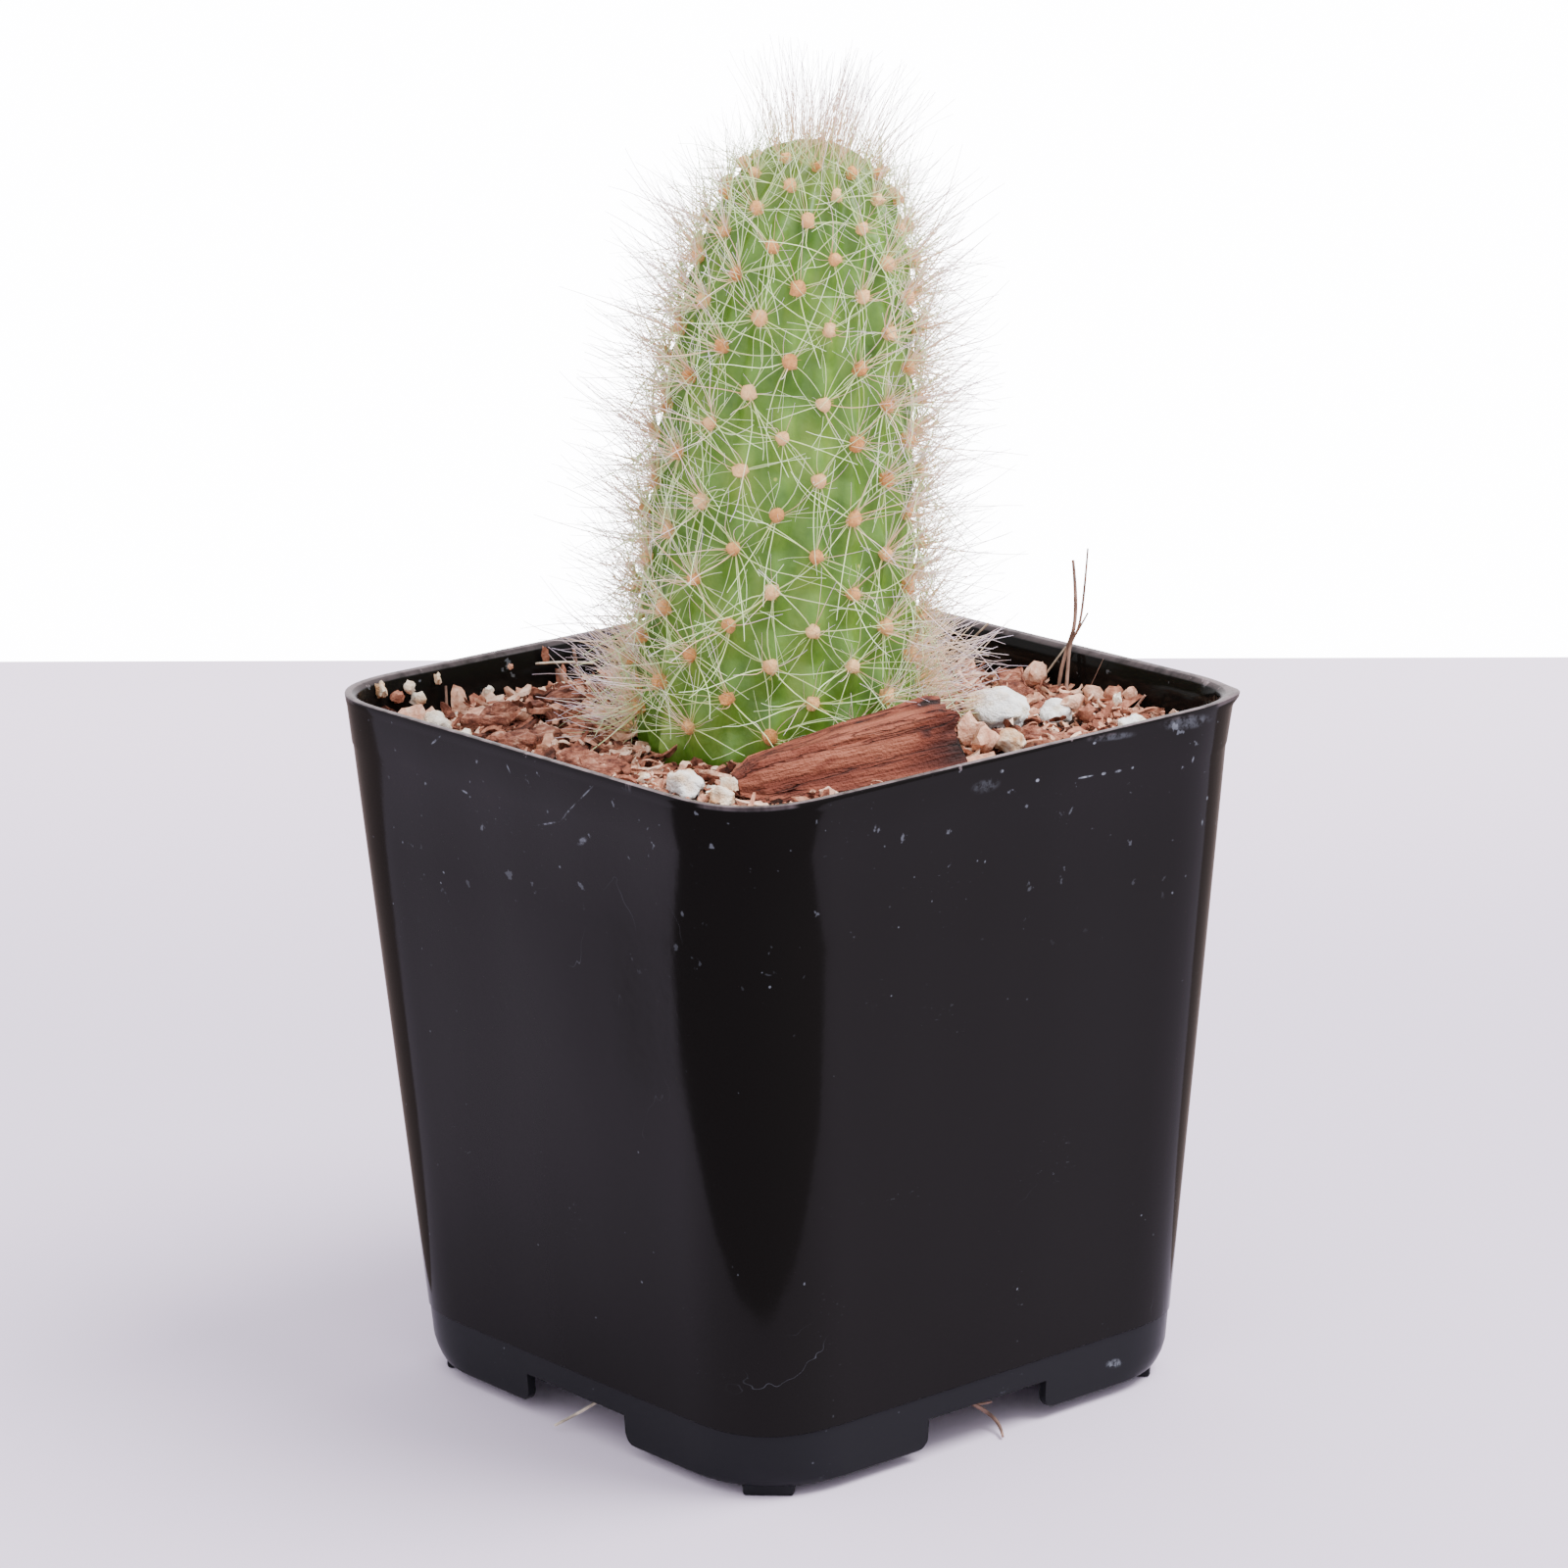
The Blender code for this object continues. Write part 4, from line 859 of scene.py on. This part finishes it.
chance = random.Random(12)
pads = [make_crumb(chance, 2, 0.5) for _ in range(8)]
felt_hairs = [make_bristle(chance, 0.07, 0.0, 2) for _ in range(20)]
bristles = [make_bristle(chance, 0.0185, -0.17) for _ in range(60)]
hairs = [make_bristle(chance, 0.0145, 0.16, blunt=0.3) for _ in range(60)]
wisps = [make_bristle(chance, 0.0085, 0.12, blunt=0.5) for _ in range(40)]
wool = [make_bristle(chance, 0.022, 0.25, 4, blunt=0.5) for _ in range(40)]
# A kind of spine: how many to an areole that faces the camera and to one that faces aside, tilt
# from the areole's normal in degrees, length, upward pull
KINDS = {"bristles": (bristles, 10, 16, (54, 88), (0.0030, 0.0078), 0.15),
         "hairs": (hairs, 3, 42, (3, 46), (0.0034, 0.0078), 0.75),
         "wool": (wool, 0, 32, (15, 80), (0.0014, 0.0038), 0.90)}
MORE_ON_LEFT, MORE_WHEN_YOUNG = 7, 8              # bristles beyond those numbers
YOUNG_ROW, YOUNG_OVER, WISPY_ROW = 3.6, 2.0, 4.2  # where areoles start to be young, and hairs fine
PAD_SIZE, YOUNG_PAD_SIZE, FELT_HAIRS = 0.00122, 0.00092, 9
TUFT_HAIRS, CREST_HAIRS = 330, 90
pad_places, felt_places = [], []
spine_places = {kind: [] for kind in KINDS}
for row, seat, normal, rise in areoles:
    young = min(1.0, max(0.0, (row - YOUNG_ROW) / YOUNG_OVER))
    size = (PAD_SIZE + (YOUNG_PAD_SIZE - PAD_SIZE) * young) * chance.uniform(0.88, 1.1)
    sideways = abs((to_camera @ normal.xy).x) ** 3
    side = normal.cross(rise)
    pad = Matrix((rise, side, normal)).transposed().to_4x4()
    pad_places.append((chance.choice(pads), Matrix.Translation(seat + normal * 0.00015) @ pad
                       @ Matrix.Diagonal((size * 1.05, size, 0.00125, 1)), chance.random()))
    for _ in range(FELT_HAIRS):
        turn = chance.uniform(0, 2 * math.pi)
        around = rise * math.cos(turn) + side * math.sin(turn)
        shape = chance.choice(felt_hairs)
        root = seat + around * 0.45 * size * chance.random() + normal * 0.0002
        way = normal + around * chance.uniform(0.2, 1.2)
        place = turned(root, way, side, chance.uniform(0, 6), chance.uniform(0.0004, 0.0008))
        felt_places.append((shape, place, chance.random()))
    for kind, (shapes, fewest, most, tilts, lengths, pull) in KINDS.items():
        number = fewest + (most - fewest) * sideways
        if kind == "bristles":
            faces_left = normal.xy.dot(leftwards.xy) > 0.35
            number = round(number) + (MORE_ON_LEFT if faces_left else 0) + round(MORE_WHEN_YOUNG * young)
        else:
            number = round(number * (1 - 0.3 * young))
        if kind == "hairs" and row > WISPY_ROW:
            shapes = wisps
        for count in range(number):
            turn = 2 * math.pi * (count + chance.uniform(-1.6, 1.6)) / number
            around = rise * math.cos(turn) + side * math.sin(turn)
            tilt = math.radians(chance.uniform(*tilts))
            way = normal * math.cos(tilt) + around * math.sin(tilt)
            way += UP * (pull + 0.9 * young) * chance.random()
            length = (lengths[0] + (lengths[1] - lengths[0]) * chance.random() ** 1.3) * (1 - 0.35 * young)
            if kind == "hairs" and chance.random() < 0.14:
                length *= 1.3
            tip = seat + way.normalized() * length
            if tip.z < mix_height(tip.x, tip.y) + 0.0010 and tip.xy.length < SOWN_HALF:
                way += UP * chance.uniform(0.5, 1.1)
            root = seat + normal * 0.0001 + around * 0.42 * size
            shape = chance.choice(shapes)
            place = turned(root, way, normal if kind == "bristles" else UP, chance.gauss(0, 1.3), length)
            spine_places[kind].append((shape, place, chance.random()))
stem_tip = stem_centre(STEM_LENGTH - 0.0004)
tip_way = stem_way(STEM_LENGTH)
tuft_places = []
for _ in range(TUFT_HAIRS):
    turn, out = chance.uniform(0, 2 * math.pi), chance.random() ** 0.6
    outward = ACROSS.cross(tip_way) * math.cos(turn) + ACROSS * math.sin(turn)
    root = stem_tip + outward * 0.0050 * out - tip_way * 0.0012 * out ** 2
    way = tip_way + outward * out * chance.uniform(0.1, 0.8)
    shape = chance.choice(wisps)
    place = turned(root, way, outward, chance.gauss(0, 1.5), chance.uniform(0.0032, 0.0088))
    tuft_places.append((shape, place, chance.random()))
for _ in range(CREST_HAIRS):
    root = stem_tip - tip_way * 0.0004 + ACROSS * chance.gauss(0.0, 0.0017) + LEAN * chance.gauss(0, 0.0014)
    way = tip_way * 0.0060 - (root - stem_tip) * 0.5 - leftwards * 0.0014 + ACROSS * chance.gauss(0, 0.0005)
    shape = chance.choice(wisps)
    place = turned(root, way, UP.cross(way), chance.gauss(0, 1.5), chance.uniform(0.0040, 0.0078))
    tuft_places.append((shape, place, chance.uniform(0, 0.2)))

felt = Finish("areole felt", (0.80, 0.45, 0.22), 0.9, Sheen_Weight=0.1, Specular_IOR_Level=0.2)
felt.paint(felt.stored("tone") * 0.6 + felt.grain(2200, 2) * 0.5, [
    (0.20, (0.52, 0.205, 0.060)), (0.50, (0.79, 0.38, 0.14)), (0.85, (0.93, 0.58, 0.28))])
felt.relief(felt.grain(6000, 2), 0.0002)
settle(spread("areole_pads", pad_places), felt, "cactus")
settle(spread("areole_felt", felt_places), felt, "cactus")

# The bristles run from tan at the root to pale green: the tan is their own, the green is painted light, the
# flesh's green that shows through them and falls on them.
straw = Finish("bristle", (0.74, 0.66, 0.48), 0.45)
straw.paint(straw.stored("along") * 0.75 + straw.stored("tone") * 0.35, [
    (0.04, (0.50, 0.42, 0.15)), (0.14, (0.52, 0.60, 0.23)), (0.60, (0.58, 0.74, 0.34)),
    (1.0, (0.72, 0.86, 0.54))])
down = Finish("hair", (0.72, 0.64, 0.55), 0.5)
down.paint(down.stored("along") * 0.8 + down.stored("tone") * 0.3, [
    (0.05, (0.64, 0.38, 0.19)), (0.32, (0.82, 0.56, 0.35)), (0.60, (0.90, 0.70, 0.57)),
    (1.0, (0.90, 0.78, 0.98))])
settle(spread("bristles", spine_places["bristles"]), straw, "cactus")
settle(spread("hairs", spine_places["hairs"]), down, "cactus")
settle(spread("areole_wool", spine_places["wool"]), down, "cactus")
settle(spread("tip_tuft", tuft_places), down, "cactus")


# Dry bits of plant: a stalk of two strands that stands against the right wall, twigs and
# rootlets that lean on the walls, and a fibre that hangs out of each of two drain notches.
def strand(name, *paths):
    """Thin round strands as one closed mesh; a path is its points and radii in millimetres."""
    curve = bpy.data.curves.new(name, "CURVE")
    curve.dimensions = "3D"
    curve.bevel_depth = 0.001
    curve.bevel_resolution = 1
    curve.use_fill_caps = True
    for path in paths:
        spline = curve.splines.new("NURBS")
        spline.points.add(len(path) - 1)
        for point, (x, y, z, radius) in zip(spline.points, path):
            point.co = (x / 1000, y / 1000, z / 1000, 1.0)
            point.radius = radius
        spline.order_u = min(3, len(path))
        spline.use_endpoint_u = True
    guide = bpy.data.objects.new(name, curve)
    bpy.context.scene.collection.objects.link(guide)
    bm = bmesh.new()
    bm.from_mesh(finished_mesh(guide))
    bpy.data.objects.remove(guide)
    bmesh.ops.remove_doubles(bm, verts=bm.verts, dist=0.000002)
    return solid(name, bm, 60)


def strand_finish(name, colour):
    finish = Finish(name, colour, 0.75, Specular_IOR_Level=0.3)
    dark, light = (tuple(share * part for part in colour) for share in (0.45, 1.25))
    finish.set("Base Color", finish.mix(finish.ease(finish.grain(800, 3), 0.3, 0.7), dark, light))
    return finish


brown = strand_finish("brown strand", (0.30, 0.18, 0.14))
pale = strand_finish("pale strand", (0.62, 0.52, 0.42))
settle(strand("stalk", ((25.6, -5.4, 55.0, 0.17), (25.9, -5.3, 57.0, 0.18), (26.5, -5.6, 59.4, 0.16),
                        (26.7, -5.8, 60.2, 0.19), (26.8, -6.36, 61.6, 0.20), (26.8, -6.51, 64.6, 0.19),
                        (26.8, -6.16, 67.3, 0.14)),
              ((25.6, -6.35, 55.0, 0.17), (25.9, -6.3, 57.0, 0.17), (26.5, -5.95, 59.6, 0.14),
               (26.75, -6.1, 60.4, 0.14), (26.8, -6.97, 61.7, 0.12), (26.8, -7.61, 65.2, 0.11),
               (26.8, -8.0, 68.6, 0.08)),
              ((26.75, -6.5, 60.9, 0.10), (26.8, -7.96, 63.0, 0.07))), brown, "dry_plant", "dry_stalk")
settle(strand("drain_strand_1", ((-16.6, 0.0, 4.7, 0.13), (-18.6, 0.3, 3.2, 0.13), (-21.4, 0.2, 2.3, 0.13),
                                 (-23.6, 0.8, 1.4, 0.12), (-25.0, 1.9, 0.5, 0.12))),
       pale, "dry_plant", "drain_fibre_1")
settle(strand("drain_strand_2", ((-1.0, -16.6, 4.7, 0.16), (0.4, -18.9, 2.6, 0.17), (1.9, -21.2, 1.6, 0.18),
                                 (2.2, -23.3, 0.7, 0.16), (1.0, -24.9, 0.3, 0.12)),
              ((1.5, -20.8, 1.8, 0.14), (3.7, -20.5, 1.4, 0.10))), brown, "dry_plant", "drain_fibre_2")
settle(strand("brown_twigs", ((-1.3, 26.5, 56.4, 0.22), (-1.54, 26.6, 58.7, 0.14)),
              ((-15.5, 26.4, 55.4, 0.14), (-15.3, 26.7, 57.8, 0.10)),
              ((-3.0, 25.4, 55.6, 0.30), (-3.7, 26.2, 57.3, 0.22)),
              ((25.4, -14.6, 55.6, 0.13), (25.9, -15.9, 57.4, 0.10)),
              ((25.6, -15.3, 56.6, 0.10), (25.5, -15.9, 56.0, 0.10)),
              ((26.2, -8.0, 55.4, 0.045), (26.9, -9.75, 59.3, 0.025))), brown, "dry_plant")
settle(strand("pale_twigs", ((-5.7, 26.6, 58.1, 0.10), (-2.5, 26.5, 57.8, 0.13), (0.4, 26.5, 57.1, 0.12)),
              ((26.0, -3.4, 56.9, 0.10), (26.7, -5.3, 59.6, 0.08)),
              ((26.3, 7.9, 57.0, 0.11), (26.8, 4.6, 60.0, 0.08)),
              ((26.3, 7.9, 57.1, 0.09), (26.4, 4.2, 57.2, 0.05)),
              ((26.2, 7.6, 56.8, 0.09), (26.3, 4.6, 57.5, 0.05))), pale, "dry_plant")


# The table and the light: a plain pale table that ends behind the pot, white all round, and a
# large soft light above. Three cards show only where the glossy pot reflects them: a dark one on
# the table in front, and a brown one to each side.
TABLE_BEHIND = 0.254
TABLE_FADE = 0.17                                 # it is painted paler over this last stretch, painted light where the white behind blends into it
TABLE_HALF = (2.5, 1.5)
TABLE_TURN = math.radians(-3.8)                   # its far edge isn't quite square to the view
table = bmesh.new()
bmesh.ops.create_grid(table, x_segments=1, y_segments=1, size=1.0,
                      matrix=Matrix.Rotation(TABLE_TURN - LOOKS_TOWARDS, 4, "Z")
                      @ Matrix.Translation((0, TABLE_BEHIND - TABLE_HALF[1], 0))
                      @ Matrix.Diagonal((*TABLE_HALF, 1, 1)))
table = solid("table", table)
paper = Finish("pale table", (0.70, 0.61, 0.76), 0.6, Specular_IOR_Level=0.0)
# Painted light: the table's colour grows paler towards its far edge, where the white behind blends into it.
painted_far_light = paper.ease(paper.axis("X") * math.sin(LOOKS_TOWARDS) + paper.axis("Y") * math.cos(LOOKS_TOWARDS),
                 TABLE_BEHIND - TABLE_FADE, TABLE_BEHIND)
paper.set("Base Color", paper.mix(painted_far_light, (0.71, 0.615, 0.77), (0.96, 0.82, 1.0)))
table.data.materials.append(paper.material)

# Corners in millimetres, to the right of the pot's middle and behind it; the two walls reflect
# the dark card's far edge as an arch
DARK_CARD = ((-600, 4), (-160, 0), (-144, -1.7), (-117, -5.4), (-92.7, -11.3), (-67.8, -30.9),
             (-39.8, -47.3), (-17.8, -55.6), (0, -58), (11.9, -59.7), (42.6, -57.2), (67.2, -53.5),
             (103.6, -56.2), (140, -55), (600, -55), (600, -1000), (-600, -1000))
LEFT_CARD = ((-41, 12), (-425, 135), (-70, 400))
CARD_HEIGHT = 0.0006
CARDS = (("dark_card", DARK_CARD, (0.0, 0.0, 0.0)), ("brown_card_left", LEFT_CARD, (0.22, 0.165, 0.16)),
         ("brown_card_right", [(-x, y) for x, y in LEFT_CARD], (0.26, 0.20, 0.19)))
for name, corners, colour in CARDS:
    card = bmesh.new()
    bmesh.ops.contextual_create(card, geom=[card.verts.new(
        Matrix.Rotation(-LOOKS_TOWARDS, 3, "Z") @ Vector((x / 1000, y / 1000, CARD_HEIGHT)))
        for x, y in corners])
    card = solid(name, card)
    card.data.materials.append(Finish(name, colour, 1.0, Specular_IOR_Level=0.0).material)
    card.visible_camera = card.visible_diffuse = card.visible_shadow = card.visible_transmission = False

AIR_LIGHT, AIR_SEEN = 2.0, 16.0                   # how bright the white is, and looks to the camera
world = bpy.data.worlds.new("studio")
world.use_nodes = True
air = world.node_tree.nodes["Background"]
seen = world.node_tree.nodes.new("ShaderNodeLightPath")
strength = world.node_tree.nodes.new("ShaderNodeMapRange")
strength.inputs["To Min"].default_value = AIR_LIGHT
strength.inputs["To Max"].default_value = AIR_SEEN
world.node_tree.links.new(seen.outputs["Is Camera Ray"], strength.inputs["Value"])
world.node_tree.links.new(strength.outputs["Result"], air.inputs["Strength"])
air.inputs["Color"].default_value = (0.97, 0.97, 1.0, 1.0)
bpy.context.scene.world = world
key = bpy.data.objects.new("key", bpy.data.lights.new("key", "AREA"))
key.data.shape = "DISK"
key.data.size = 0.5
key.data.energy = 12.0
key.location = (0.25, -0.35, 0.75)
key.rotation_euler = (Vector((0, 0, 0.06)) - key.location).to_track_quat("-Z", "Y").to_euler()
bpy.context.scene.collection.objects.link(key)
